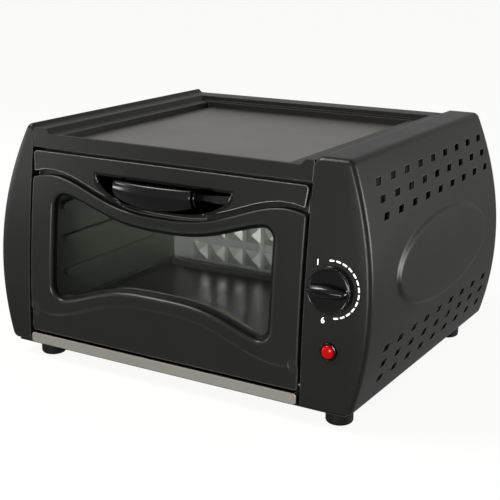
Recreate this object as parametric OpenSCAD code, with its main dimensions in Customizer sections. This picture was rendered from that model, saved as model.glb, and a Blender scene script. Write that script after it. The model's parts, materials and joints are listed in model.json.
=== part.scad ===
// Electric tandoor: a counter-top oven with a recessed hot plate on top,
// a drop-down window door, two bulging side covers and a pull-out crumb tray.
// Inside the modules X is measured from the middle of the mouth, Y from the
// foot of the front face and Z from the top of the base pan. seat() then moves
// every piece so that the origin is under the middle of the whole body.

/* [Body] */
// Depth of the body from the foot of the front face to the back
body_d = 308; // [260:1:340]
// Height of the side covers above the base pan
body_h = 212; // [205:0.5:240]
// Clear width between the two side covers
mouth_w = 300; // [296:1:330]
// Thickness of the base pan's sheet
pan_t = 1.2; // [0.8:0.1:2]
// Radius of the front face, which bellies out a little
front_r = 1302; // [900:1:2500]
// Rise of the front face's lean at its foot
front_slope = 0.0242; // [0:0.001:0.06]
// Height above the base pan where the front face starts to lean
front_foot_z = 8; // [0:0.5:12]

/* [Side covers] */
// Widest reach of the left cover beyond the mouth
left_cover_w = 36.5; // [36:0.5:50]
// Widest reach of the right cover beyond the mouth
right_cover_w = 60.7; // [56:0.1:75]
// How far both covers fall back from the belly to their top edge
belly_fall = 27.5; // [20:0.1:28]
// Height of the widest point of the belly
belly_z = 88; // [80:1:100]
// Thickness of the covers' sheet
cover_t = 1.6; // [1.2:0.1:2.5]
// Radius of the covers' long edges
cover_edge_r = 7; // [4:0.5:9]
// Width of the slanted step on the covers' top beside the top frame
cover_step_w = 4; // [2:0.5:6]
// Depth of the covers' return flange beside the door
cover_return_d = 34; // [30:1:45]

/* [Side vents and oval] */
// Holes in each row of vents
vent_columns = 9; // [5:1:9]
// Rows in each band of vents
vent_rows = 3; // [1:1:3]
// Pitch of the vents along the body
vent_pitch = 29.7; // [26:0.1:30]
// Shift of the lower band towards the front
vent_low_shift = 7; // [0:0.5:8]
// Place of the first vent behind the front face's foot
vent_first_y = 52; // [48:1:60]
// Pitch of the rows
vent_row_pitch = 14; // [12:0.5:15]
// Length of one vent
vent_w = 10; // [6:0.5:12]
// Height of one vent
vent_h = 5.5; // [4:0.5:7]
// Slant of the vents' ends
vent_slant = 4; // [0:0.5:6]
// Height of the lower band's lowest row
vent_low_z = 22; // [20:0.5:26]
// Drop from the covers' top to the upper band's lowest row
vent_high_drop = 50; // [48:0.5:54]
// Half length of the oval raised on each cover
oval_half_d = 108; // [80:1:110]
// Half height of the oval
oval_half_h = 40; // [25:1:42]
// Place of the oval's middle behind the front face's foot
oval_y = 165; // [150:1:170]
// Height of the oval's middle
oval_z = 105.5; // [100:0.5:108]
// Height of the raised oval above the cover
oval_rise = 2; // [1:0.1:3]

/* [Top frame and hot plate] */
// Step from the covers' top down to the frame's rim
rim_drop = 3.2; // [2:0.1:5]
// Step from the rim down to the front lip and the ledge
lip_drop = 4.8; // [3:0.1:6]
// Step from the ledge down to the hot plate
plate_drop = 6; // [4:0.5:8]
// Height of the front rail below the rim
rail_h = 17.8; // [16:0.1:22]
// Width of the rim on the left
rim_left_w = 14.4; // [8:0.1:16]
// Width of the rim on the right
rim_right_w = 9; // [8:0.1:16]
// Width of the rim at the back
rim_back_w = 21; // [14:0.5:26]
// Width of the ledge at both sides and the back
ledge_w = 11.5; // [8:0.5:14]
// Width of the lip at the front
lip_w = 3.5; // [3:0.1:8]
// Running gap between the top frame and the side covers
frame_gap = 0.5; // [0.3:0.1:1]
// Thickness of the frame's walls
frame_t = 2.5; // [2:0.1:3]
// Width of the flange that carries the hot plate
plate_seat_w = 8; // [5:0.5:12]
// Thickness of the hot plate
plate_t = 2.4; // [1.5:0.1:3]
// Gap round the hot plate
plate_gap = 0.4; // [0.3:0.1:1]

/* [Door] */
// Gap between the door and the left cover
door_gap_left = 2; // [1.5:0.1:4]
// Gap between the door and the right cover
door_gap_right = 3.8; // [1.5:0.1:4]
// Height of the door's lower edge above the base pan
door_bottom_z = 12; // [11.5:0.5:13]
// Gap between the door's top and the top frame's rail
door_top_gap = 3.2; // [2:0.1:5]
// Thickness of the whole door
door_t = 16; // [15:0.5:16]
// Depth of the door's outer mouldings
panel_t = 7.6; // [7:0.1:8.5]
// Thickness of the mouldings' front skin
skin_t = 2.6; // [2:0.1:3]
// Width of the dark groove between fascia and window panel
groove_w = 5.6; // [4:0.1:7]
// Drop from the door's top to the window panel's upper edge at the middle
door_wave_mid_drop = 46.2; // [44:0.1:49]
// Drop from the door's top to the window panel's upper edge at its crests
door_wave_side_drop = 21.4; // [19:0.1:25]
// Distance of the crests inside the mouth's edges
door_wave_in = 24; // [20:1:30]
// Corner radius of the door's mouldings
door_corner_r = 3.5; // [2:0.5:5]
// Clear gap between the door's back and the front frame
door_back_gap = 2; // [1.6:0.1:3]

/* [Window] */
// Half width of the window
window_half_w = 117.5; // [110:0.5:120]
// Extra width of the window on its left side
window_left_more = 5.5; // [0:0.5:6]
// Height of the bar above the window at the middle
window_bar_mid_h = 13.6; // [12:0.1:17]
// Height of the bar above the window at its ends
window_bar_side_h = 17.8; // [16:0.1:21]
// Height of the window's lower edge at the middle
window_low_mid_z = 73.8; // [70:0.1:76]
// Height of the window's lower edge at its ends
window_low_side_z = 53.3; // [50:0.1:56]
// Corner radius of the window
window_r = 9; // [6:0.5:10]
// Depth of the low step across the door under the window
sill_step = 1.6; // [0.8:0.1:2]
// Height of the step at the middle
sill_mid_z = 56.8; // [54:0.1:60]
// Height of the step at the ends
sill_side_z = 32; // [28:0.5:36]
// Thickness of the glass
glass_t = 3; // [2.5:0.1:3.5]
// Overlap of the glass behind the window's edge
glass_lap = 6; // [4:0.5:8]

/* [Handle] */
// Half width of the gloss cup behind the grip
cup_half_w = 73; // [66:0.5:78]
// Drop from the door's top to the cup's flat upper edge
cup_top_drop = 15.3; // [14:0.1:18]
// Depth of the cup behind the front face
cup_deep = 13; // [12:0.5:13.5]
// Thickness of the cup's wall
cup_t = 1.5; // [1.2:0.1:2]
// Half width of the grip
grip_half_w = 43; // [36:0.5:48]
// Height from the grip's lower edge at the middle to the cup's upper edge
grip_h = 21.2; // [19:0.1:22]
// Rise of the grip's lower edge at its ends
grip_rise = 5; // [3:0.5:7]
// Reach of the grip in front of the front face at the middle
grip_reach = 16.5; // [12:0.5:20]
// Reach of the grip in front of the front face at its ends
grip_end_reach = 12; // [8:0.5:14]
// Thickness of the grip's wall
grip_t = 3; // [2.5:0.5:4]

/* [Door hinge] */
// Height of the hinge line above the base pan
hinge_z = 17; // [16.5:0.5:18]
// Place of the hinge line behind the front face's foot
hinge_y = 6.5; // [6:0.1:7]
// Diameter of the hinge pins
hinge_pin_d = 4; // [3:0.1:4.4]
// Radial clearance of the pins in the hinge lugs
pin_fit = 0.05; // [0.02:0.01:0.08]
// Radial gap where a pin only passes through a wall
pin_pass = 0.3; // [0.2:0.05:0.5]
// Length of each pin inside its lug
pin_in_lug = 8; // [6:0.5:10]

/* [Front frame and cavity] */
// Thickness of the liner sheets
liner_t = 1; // [0.8:0.1:1.5]
// Distance of the cavity's side walls inside the mouth's edges
cavity_in = 9; // [8:0.5:12]
// Distance of the cavity's back wall inside the body's back
cavity_back_in = 72; // [64:1:82]
// Lower edge of the mouth in the front frame
mouth_low_z = 19; // [18:0.5:22]
// Drop from the door's top to the upper edge of the mouth in the front frame
mouth_high_drop = 9.8; // [9:0.1:13]
// Width of the front frame's edge inside the cavity walls
mouth_edge_w = 5; // [3:0.5:8]
// Shelf ribs on each side wall
rib_count = 4; // [2:1:4]
// Height of the lowest shelf rib
rib_first_z = 27; // [26:0.5:30]
// Pitch of the shelf ribs upwards
rib_pitch = 34; // [28:0.5:36]
// Height of a shelf rib
rib_h = 8; // [6:0.5:10]
// Reach of a shelf rib into the cavity
rib_reach = 5; // [3:0.5:6]
// Columns of pyramids on the back wall
waffle_columns = 10; // [6:1:10]
// Rows of pyramids on the back wall
waffle_rows = 5; // [3:1:5]
// Pitch of the pyramids across
waffle_pitch_x = 22.9; // [20:0.1:23]
// Pitch of the pyramids upwards
waffle_pitch_z = 27.5; // [24:0.5:28]
// Side of one pyramid
waffle_w = 18.6; // [14:0.1:19]
// Height of one pyramid
waffle_h = 3.6; // [2:0.1:5]
// Height of the lowest row of pyramids
waffle_low_z = 34; // [32:0.5:36]

/* [Heaters] */
// Diameter of the heater tubes
heater_d = 6.5; // [6:0.1:8]
// Height of the lower heater
lower_heater_z = 16; // [15:0.5:17]
// Drop from the cavity's top to the upper heater
upper_heater_drop = 9.1; // [8:0.1:10]
// Distance of each long run of a heater from the cavity's middle
heater_half_span = 55; // [40:1:70]

/* [Baking tray] */
// Height of the baking tray's wall
bake_h = 8; // [6:0.5:9]
// Thickness of the baking tray
bake_t = 1; // [0.8:0.1:1.5]
// Width of the rim that rides on the ribs
bake_rim_w = 5; // [4:0.5:6]

/* [Crumb tray] */
// Height of the bright front strip
strip_h = 9.7; // [8:0.1:10]
// Thickness of the front strip
strip_t = 1.6; // [1.2:0.1:2]
// Height of the crumb tray's walls
crumb_h = 7; // [5:0.5:7.5]
// Thickness of the crumb tray's sheet
crumb_t = 0.8; // [0.6:0.1:1.2]
// Gap between the crumb tray and what it slides past
crumb_gap = 0.5; // [0.4:0.1:0.8]
// Corner radius of the front strip
strip_r = 3; // [1:0.5:4]

/* [Controls] */
// Place of the knob beyond the mouth's right edge
knob_x = 25.2; // [22:0.1:30]
// Height of the knob's axis
knob_z = 106.5; // [100:0.5:110]
// Diameter of the knob's skirt
knob_d = 39; // [34:0.5:42]
// Depth of the knob
knob_deep = 12; // [10:0.5:16]
// Width of the knob's finger bar
knob_bar_w = 10; // [8:0.5:14]
// Reach of the finger bar in front of the skirt
knob_bar_reach = 7; // [4:0.5:9]
// Gap between the knob and the panel
knob_gap = 1; // [0.5:0.1:2]
// Diameter of the thermostat's shaft
shaft_d = 6; // [5:0.1:7]
// Gap round the shaft in the panel
shaft_gap = 0.8; // [0.5:0.1:1.5]
// Height of the pilot lamp
lamp_z = 54; // [48:0.5:58]
// Diameter of the lamp's bezel
lamp_bezel_d = 15.8; // [14:0.1:18]
// Diameter of the lamp's red lens
lamp_lens_d = 11.6; // [10:0.1:13]

/* [Feet] */
// Diameter of a foot at its top
foot_d = 24; // [18:0.5:24]
// Height of a foot
foot_h = 13.3; // [8:0.1:18]
// Distance of the left feet inside the mouth's left edge
foot_left_in = 12; // [10:1:20]
// Distance of the right feet outside the mouth's right edge
foot_right_out = 28; // [20:1:28]
// Place of the front feet behind the front face's foot
foot_front_y = 20; // [16:1:26]
// Distance of the back feet inside the body's back
foot_back_in = 40; // [28:1:68]

/* [Hidden] */
$fn = 96;

// Smallest overlap that a cut needs past a face
cut = 1;
// Points along a long curve
curve_steps = 24;
// Points along a quarter-circle corner of an outline
corner_steps = 6;
// Power that shapes the long waves of door and window
wave_power = 1.4;
// Power that shapes the window's lower edge
sill_power = 1.6;
// Room beside the grip where the cup is open below
cup_open_gap = 2;
// Gap between the cup and the window panel's upper edge
cup_seat_gap = 0.4;

mouth_x = mouth_w / 2;
rim_z = body_h - rim_drop;
ledge_z = rim_z - lip_drop;
plate_z = ledge_z - plate_drop;
rail_z = rim_z - rail_h;
frame_x = mouth_x - frame_gap;
well_left_x = -mouth_x + rim_left_w;
well_right_x = mouth_x - rim_right_w;
well_back_y = body_d - rim_back_w;
ledge_left_x = well_left_x + lip_drop + ledge_w;
ledge_right_x = well_right_x - lip_drop - ledge_w;
ledge_back_y = well_back_y - ledge_w;
ledge_front_y = front_y(ledge_z) + lip_w;
seat_under_z = plate_z - plate_t - frame_t;

door_left_x = -mouth_x + door_gap_left;
door_right_x = mouth_x - door_gap_right;
door_top_z = rail_z - door_top_gap;
door_wave_mid_z = door_top_z - door_wave_mid_drop;
door_wave_side_z = door_top_z - door_wave_side_drop;
door_wave_reach = mouth_x - door_wave_in;
window_top_mid_z = door_wave_mid_z - window_bar_mid_h;
window_top_side_z = door_wave_side_z - window_bar_side_h;
cup_top_z = door_top_z - cup_top_drop;
grip_low_z = cup_top_z - grip_h;

mouth_off = door_t + door_back_gap;
front_frame_back = mouth_off + liner_t;
cavity_top_z = seat_under_z;
cavity_half_w = mouth_x - cavity_in;
cavity_back_y = body_d - cavity_back_in;
mouth_high_z = door_top_z - mouth_high_drop;
mouth_half_w = cavity_half_w - mouth_edge_w;
upper_heater_z = cavity_top_z - upper_heater_drop;
vent_high_z = body_h - vent_high_drop;

knob_cx = mouth_x + knob_x;
panel_y_knob = front_y(knob_z);
panel_tilt_knob = atan(front_slope + (knob_z - front_foot_z) / front_r);
panel_tilt_lamp = atan(front_slope + (lamp_z - front_foot_z) / front_r);

foot_drop = foot_h + pan_t;
belly_r = pow(body_h - belly_z, 2) / (2 * belly_fall);
step_turn = atan(rim_drop / cover_step_w);
screw_head_ratio = 0.3;
back_screw_head_d = 5.6;

// Middle of the whole body, from the knob's bar to the rear screws' heads
knob_reach = knob_gap + knob_deep + knob_bar_reach;
front_most_y = panel_y_knob - knob_reach * cos(panel_tilt_knob) - knob_bar_w / 2 * sin(panel_tilt_knob);
back_most_y = body_d + back_screw_head_d * screw_head_ratio;
shift_x = (right_cover_w - left_cover_w) / 2;
shift_y = (front_most_y + back_most_y) / 2;

// ---- shared curves ----

// Depth of the front face at height z
function front_y(z) =
  let (t = max(z - front_foot_z, 0)) front_slope * t + t * t / (2 * front_r);

// Height of a long wave at x: mid in the middle, side at the crests
function wave(x, mid, side, reach, power) =
  mid + (side - mid) * pow(sin(90 * pow(abs(x) / reach, power)), 2);

function door_wave(x) = wave(x, door_wave_mid_z, door_wave_side_z, door_wave_reach, wave_power);

function sill_wave(x) = wave(x, sill_mid_z, sill_side_z, door_wave_reach, wave_power);

// Reach of a side cover of width w at height z
function belly(w, z) = w - pow(z - belly_z, 2) / (2 * belly_r);

// Points of an arc about c from angle a0 to a1
function arc(c, r, a0, a1, steps = corner_steps) =
  [for (i = [0:steps]) c + r * [cos(a0 + (a1 - a0) * i / steps), sin(a0 + (a1 - a0) * i / steps)]];

// Even steps from a to b
function steps_between(a, b, n = curve_steps) = [for (i = [0:n]) a + (b - a) * i / n];

// Outline of the window, grown by g on every side
function window_outline(g = 0) =
  let (
    hw = window_half_w + g,
    left = -hw - window_left_more,
    r = window_r + g,
    top = [for (x = steps_between(left + r, hw - r))
      [x, wave(x, window_top_mid_z, window_top_side_z, window_half_w, wave_power) + g]],
    low = [for (x = steps_between(hw - r, left + r))
      [x, wave(x, window_low_mid_z, window_low_side_z, window_half_w, sill_power) - g]],
    top_c = top[len(top) - 1][1] - r,
    low_c = low[0][1] + r,
    left_top_c = top[0][1] - r,
    left_low_c = low[len(low) - 1][1] + r
  )
  concat(
    top,
    arc([hw - r, top_c], r, 80, 0),
    arc([hw - r, low_c], r, 0, -80),
    low,
    arc([left + r, left_low_c], r, -100, -180),
    arc([left + r, left_top_c], r, 180, 100)
  );

// Outline of the window panel, inset by g
function panel_outline(g = 0) =
  let (x0 = door_left_x + g, x1 = door_right_x - g, r = max(door_corner_r - g, 0.5))
  concat(
    [for (x = steps_between(x0 + r, x1 - r)) [x, door_wave(x) - g]],
    arc([x1 - r, door_wave(x1 - r) - g - r], r, 80, 0),
    arc([x1 - r, door_bottom_z + g + r], r, 0, -90),
    arc([x0 + r, door_bottom_z + g + r], r, -90, -180),
    arc([x0 + r, door_wave(x0 + r) - g - r], r, 180, 100)
  );

// Outline of the fascia, inset by g
function fascia_outline(g = 0) =
  let (x0 = door_left_x + g, x1 = door_right_x - g, r = max(door_corner_r - g, 0.5))
  concat(
    [for (x = steps_between(x1 - r / 2, x0 + r / 2)) [x, door_wave(x) + groove_w + g]],
    arc([x0 + r, door_top_z - g - r], r, 180, 90),
    arc([x1 - r, door_top_z - g - r], r, 90, 0)
  );

// Lower bow of the cup at x
function cup_bow(x) =
  cup_top_z - (cup_top_z - door_wave_mid_z - groove_w) * sqrt(max(1 - pow(x / cup_half_w, 2), 0));

// Outline of the handle's cup: flat on top, a bow at each end, and open behind the grip
// down to the window panel's upper edge, so that fingers reach in from below
function cup_outline(g = 0) =
  let (
    hw = cup_half_w - g,
    ow = grip_half_w + cup_open_gap - g,
    left_bow = [for (x = steps_between(-hw, -ow, 8)) [x, min(cup_top_z - 2 * g, cup_bow(x) + g)]],
    mouth = [for (x = steps_between(-ow, ow, 12)) [x, door_wave(x) + cup_seat_gap + g]],
    right_bow = [for (x = steps_between(ow, hw, 8)) [x, min(cup_top_z - 2 * g, cup_bow(x) + g)]]
  )
  concat([[hw, cup_top_z - g], [-hw, cup_top_z - g]], left_bow, mouth, right_bow);

// Outline of the grip, inset by g
function grip_outline(g = 0) =
  let (hw = grip_half_w - g)
  concat(
    [[hw, cup_top_z - g - 0.6], [-hw, cup_top_z - g - 0.6]],
    [for (x = steps_between(-hw, hw, 16))
      [x, grip_low_z + grip_rise * pow(x / grip_half_w, 2) + g]]
  );

// Section of a side cover, inset by g: u runs outwards from the mouth
function cover_section(w, g) =
  let (
    r = cover_edge_r - g,
    top = body_h - g,
    low = g,
    top_a = atan((top - r - belly_z) / belly_r),
    low_a = atan((belly_z - low - r) / belly_r),
    top_tz = top - r + r * sin(top_a),
    low_tz = low + r - r * sin(low_a),
    ww = w - g,
    top_end = belly(ww, top_tz) - r * cos(top_a),
    step_u = min(cover_step_w + g * tan(step_turn / 2), top_end - cut / 20)
  )
  concat(
    [[g, low]],
    arc([belly(ww, low_tz) - r * cos(low_a), low + r], r, -90, -low_a),
    [for (z = steps_between(low_tz, top_tz)) if (z > low_tz && z < top_tz) [belly(ww, z), z]],
    arc([top_end, top - r], r, top_a, 90),
    [[step_u, top], [g, top - (step_u - g) * tan(step_turn)]]
  );

// ---- shared shapes ----

// Moves a piece from the front foot to the body's own origin
module seat() {
  translate([-shift_x, -shift_y, foot_drop]) children();
}

// A flat shape drawn in Y and Z, drawn out from x0 to x1
module along_x(x0, x1) {
  translate([x0, 0, 0]) rotate([90, 0, 90]) linear_extrude(x1 - x0) children();
}

// A flat shape drawn in X and Z, drawn out from y0 to y1
module along_y(y0, y1) {
  translate([0, y1, 0]) rotate([90, 0, 0]) linear_extrude(y1 - y0) children();
}

// Box from corner a to corner b
module block(a, b) {
  translate(a) cube(b - a);
}

// Everything between two copies of the front face, at depths off0 and off1
module front_layer(x0, x1, z0, z1, off0, off1) {
  zs = steps_between(z0, z1);
  along_x(x0, x1) polygon(concat(
    [for (z = zs) [front_y(z) + off0, z]],
    [for (i = [len(zs) - 1:-1:0]) [front_y(zs[i]) + off1, zs[i]]]
  ));
}

// A plate with the given outline that follows the front face
module front_plate(outline, off0, off1) {
  intersection() {
    front_layer(-mouth_x - cut, mouth_x + cut, 0, body_h, off0, off1);
    along_y(-cut, front_y(body_h) + off1 + cut) polygon(outline);
  }
}

// Everything behind the front face, from depth off to y1
module behind_front(x0, x1, z0, z1, off, y1) {
  zs = steps_between(z0, z1);
  along_x(x0, x1) polygon(concat([for (z = zs) [front_y(z) + off, z]], [[y1, z1], [y1, z0]]));
}

// Flat-ended bar with round ends in the Y-Z plane
module slot_yz(y0, y1, z, h) {
  translate([y0 + h / 2, z - h / 2]) square([y1 - y0 - h, h]);
  translate([y0 + h / 2, z]) circle(d = h);
  translate([y1 - h / 2, z]) circle(d = h);
}

// Rectangle with round corners in the X-Z plane
module round_rect(x0, x1, z0, z1, r) {
  translate([x0 + r, z0]) square([x1 - x0 - 2 * r, z1 - z0]);
  translate([x0, z0 + r]) square([x1 - x0, z1 - z0 - 2 * r]);
  for (x = [x0 + r, x1 - r], z = [z0 + r, z1 - r]) translate([x, z]) circle(r);
}

// Cylinder along Y from y0 to y1
module rod_y(x, z, d, y0, y1) {
  translate([x, y0, z]) rotate([-90, 0, 0]) cylinder(d = d, h = y1 - y0);
}

// Cylinder along X from x0 to x1
module rod_x(y, z, d, x0, x1) {
  translate([x0, y, z]) rotate([0, 90, 0]) cylinder(d = d, h = x1 - x0);
}

// Places a child on the right cover's front face, square to it, at height z
module on_panel(z, tilt) {
  translate([knob_cx, front_y(z), z]) rotate([-tilt, 0, 0]) children();
}

// Pan-head screw standing on z = 0, its shank going down
module pan_screw(head_d, shank_d, shank_l) {
  difference() {
    union() {
      cylinder(d = head_d, h = head_d * screw_head_ratio);
      translate([0, 0, -shank_l]) cylinder(d = shank_d, h = shank_l);
    }
    for (a = [0, 90]) translate([0, 0, head_d * screw_head_ratio]) rotate([0, 0, a])
      cube([head_d * 0.6, head_d * 0.12, head_d * 0.25], center = true);
  }
}

// ---- base, feet and covers ----

pan_left_x = -mouth_x - belly(left_cover_w, 0) + cover_edge_r;
pan_right_x = mouth_x + belly(right_cover_w, 0) - cover_edge_r + 2;
pan_front_y = strip_t + crumb_gap;
foot_xs = [-mouth_x + foot_left_in, mouth_x + foot_right_out];
foot_xy = [for (y = [foot_front_y, body_d - foot_back_in], x = foot_xs) [x, y]];
foot_screw_d = 4;
foot_screw_gap = 0.4;
foot_screw_head_d = 7;
foot_floor_t = 5;
foot_sole_r = 3;
slot_size = [18, 4];
slot_pitch = [30, 50];

module base_pan() seat() color([0.12, 0.12, 0.12]) difference() {
  block([pan_left_x, pan_front_y, -pan_t], [pan_right_x, body_d - 1, 0]);
  for (p = foot_xy) translate([p[0], p[1], -pan_t - cut])
    cylinder(d = foot_screw_d + foot_screw_gap, h = pan_t + 2 * cut);
  for (i = [-2.5:2.5], j = [-1:1])
    translate([i * slot_pitch[0], body_d / 2 + j * slot_pitch[1], -pan_t / 2])
      cube([slot_size[0], slot_size[1], pan_t + 2 * cut], center = true);
}

// Rubber foot: a short drum with a rounded sole and a sunk screw hole
module foot(i) {
  color([0.06, 0.06, 0.06]) translate([foot_xy[i][0], foot_xy[i][1], -foot_drop]) difference() {
    rotate_extrude() {
      square([foot_d / 2 - foot_sole_r, foot_h]);
      translate([0, foot_sole_r]) square([foot_d / 2, foot_h - foot_sole_r]);
      translate([foot_d / 2 - foot_sole_r, foot_sole_r]) circle(foot_sole_r);
    }
    translate([0, 0, -cut]) cylinder(d = foot_screw_head_d + 2, h = foot_h - foot_floor_t + cut);
    cylinder(d = foot_screw_d + foot_screw_gap, h = foot_h + cut);
  }
}

module front_left_foot() seat() foot(0);
module front_right_foot() seat() foot(1);
module rear_left_foot() seat() foot(2);
module rear_right_foot() seat() foot(3);

// Screws up through the feet into the pan, ending flush with its upper side
module foot_screws() seat() color([0.7, 0.7, 0.7]) for (p = foot_xy)
  translate([p[0], p[1], -pan_t - foot_floor_t]) mirror([0, 0, 1])
    pan_screw(foot_screw_head_d, foot_screw_d, pan_t + foot_floor_t);

// Parallelogram vent through a cover's wall, in the Y-Z plane
module vent(y, z) {
  translate([y, z]) polygon([
    [-vent_w / 2 - vent_slant / 2, -vent_h / 2], [vent_w / 2 - vent_slant / 2, -vent_h / 2],
    [vent_w / 2 + vent_slant / 2, vent_h / 2], [-vent_w / 2 + vent_slant / 2, vent_h / 2]
  ]);
}

// Solid of a cover grown inwards by g, front face and belly alike
module cover_core(w, g, back) {
  intersection() {
    along_y(-cut, back) polygon(cover_section(w, g));
    behind_front(-cut, w + cut, 0, body_h, g, back);
  }
}

// The oval as a column through the cover's side
module oval_column(w, grow) {
  along_x(w - 30, w + oval_rise + cut) polygon([for (a = [0:7.5:352.5])
    [oval_y + (oval_half_d + grow) * cos(a), oval_z + (oval_half_h + grow) * sin(a)]]);
}

// Side cover shell with u = 0 at the mouth, open towards the cavity and the back
module cover_shell(w) {
  flange_w = belly(w, 0) - cover_edge_r - 8;
  difference() {
    union() {
      cover_core(w, 0, body_d);
      intersection() {
        oval_column(w, 0);
        cover_core(w + oval_rise, 0, body_d);
      }
    }
    cover_core(w, cover_t, body_d + cut);
    intersection() {
      oval_column(w, -cover_t);
      cover_core(w + oval_rise, cover_t, body_d + cut);
    }
    block([-cut, cover_return_d, -cut], [cover_t + cut, body_d + cut, rim_z - rail_h]);
    block([-cut, cover_return_d, rim_z - rail_h - cut], [cover_t + cut, body_d + cut, rim_z - frame_t]);
    block([cover_t, 2 * cover_t, -cut], [flange_w, body_d + cut, cover_t + cut]);
    along_x(w - 25, w + cut) {
      for (low = [vent_low_z, vent_high_z], r = [0:vent_rows - 1], c = [0:vent_columns - 1])
        vent(vent_first_y + c * vent_pitch - (low == vent_low_z ? vent_low_shift : 0),
          low + r * vent_row_pitch);
    }
    rod_x(hinge_y, hinge_z, hinge_pin_d + 2 * pin_pass, -cut, cover_t + cut);
  }
}

module left_side_cover() seat() color([0.16, 0.16, 0.15])
  mirror([1, 0, 0]) translate([mouth_x, 0, 0]) cover_shell(left_cover_w);

module right_side_cover() seat() color([0.16, 0.16, 0.15]) difference() {
  translate([mouth_x, 0, 0]) cover_shell(right_cover_w);
  on_panel(knob_z, panel_tilt_knob) rod_y(0, 0, shaft_d + 2 * shaft_gap, -4, cover_t + 4);
  on_panel(lamp_z, panel_tilt_lamp) rod_y(0, 0, lamp_lens_d + 2, -4, cover_t + 4);
}

// ---- back, front frame and cavity ----

back_panel_t = 1.2;
back_panel_y = body_d - frame_t - 0.5;
back_vent_xs = [-110:20:110];
back_vent_zs = [120:20:160];
back_vent = [14, 4];
gland_x = mouth_x + 22;
gland_z = 30;
gland_neck_d = 14;
gland_neck_gap = 0.4;
gland_neck_l = 8;
gland_lip_w = 2;
gland_head_l = 2.5;
gland_bore_d = 7;
frame_screw_d = 3;
frame_screw_l = 9;
sunk_head_h = 1.2;
screw_gap = 0.2;
screw_sink_d = 6.4;
screw_sink = 1.4;
tab_z = rim_z - frame_t;
tab_w = 6;
tab_l = 13;
frame_screw_xy = [[-mouth_x + 6, body_d - 10], [mouth_x - 6, body_d - 10]];
back_screw_xz = [[-120, 7], [120, 7], [-120, rail_z + 5], [120, rail_z + 5]];

// Flat outline of the inside of a cover, g clear of its walls
module cover_inside(w, g) {
  polygon(cover_section(w, cover_t + g));
}

module rear_panel() seat() color([0.13, 0.13, 0.13]) difference() {
  union() {
    along_y(back_panel_y - back_panel_t, back_panel_y) {
      translate([-mouth_x - 3, 0]) square([2 * mouth_x + 6, rail_z - 0.5]);
      translate([-frame_x + frame_t + 0.5, 0]) square([2 * (frame_x - frame_t) - 1, tab_z]);
      translate([mouth_x, 0]) cover_inside(right_cover_w, 0.3);
      mirror([1, 0]) translate([mouth_x, 0]) cover_inside(left_cover_w, 0.3);
    }
    for (p = frame_screw_xy) block([p[0] - tab_w / 2, back_panel_y - tab_l, tab_z - back_panel_t],
      [p[0] + tab_w / 2, back_panel_y, tab_z]);
  }
  rod_y(gland_x, gland_z, gland_neck_d + gland_neck_gap,
    back_panel_y - back_panel_t - cut, back_panel_y + cut);
  for (x = back_vent_xs, z = back_vent_zs) translate([x, back_panel_y, z])
    cube([back_vent[0], 4 * back_panel_t, back_vent[1]], center = true);
  for (p = back_screw_xz)
    rod_y(p[0], p[1], frame_screw_d + screw_gap, back_panel_y - back_panel_t - cut, back_panel_y + cut);
  for (p = frame_screw_xy) translate([p[0], p[1], tab_z - back_panel_t - cut])
    cylinder(d = frame_screw_d + screw_gap, h = back_panel_t + 2 * cut);
}

// Sheet face round the mouth; its legs stand on the base pan beside the crumb tray
module front_frame() seat() color([0.25, 0.25, 0.24]) difference() {
  union() {
    front_layer(-frame_x, frame_x, 0, cavity_top_z - liner_t, mouth_off, front_frame_back);
    block([-frame_x + frame_t + 0.5, ledge_front_y + 4, cavity_top_z - liner_t],
      [frame_x - frame_t - 0.5, front_y(cavity_top_z) + front_frame_back, cavity_top_z]);
  }
  along_y(0, mouth_off * 4) round_rect(-mouth_half_w, mouth_half_w, mouth_low_z, mouth_high_z, mouth_r);
  block([-cavity_half_w - crumb_gap, 0, -cut],
    [cavity_half_w + crumb_gap, mouth_off * 2, crumb_h + 2 * crumb_gap]);
  for (x = magnet_x) rod_y(x, magnet_z, magnet_d + magnet_gap, 0, mouth_off * 4);
}

mouth_r = 6;
magnet_d = 8;
magnet_gap = 0.2;
magnet_deep = 6;
magnet_side = mouth_half_w - 11;
magnet_x = [-magnet_side, magnet_side];
magnet_z = mouth_high_z + 5.5;
magnet_y = front_y(magnet_z + magnet_d / 2) + door_t + 0.4;

// Two magnets that hold the closed door
module door_magnets() seat() color([0.75, 0.75, 0.76]) for (x = magnet_x)
  rod_y(x, magnet_z, magnet_d, magnet_y, magnet_y + magnet_deep);

heater_mid_y = (front_frame_back + cavity_back_y) / 2;
heater_left_x = -cavity_half_w + 8;
heater_end_x = mouth_x + 8;
heater_pin_l = 7;
heater_zs = [lower_heater_z, upper_heater_z];
bush_d = 12;
bush_neck_d = bush_d - 2.4;
bush_l = 4;
rest_w = 10;
rest_t = 1;
rest_drop = 2;
shield_x = mouth_x - 2;
shield_t = 0.8;
shield_flange_w = 9;
shield_flange_y = 60;
shield_back_y = back_panel_y - back_panel_t - 1;

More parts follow.
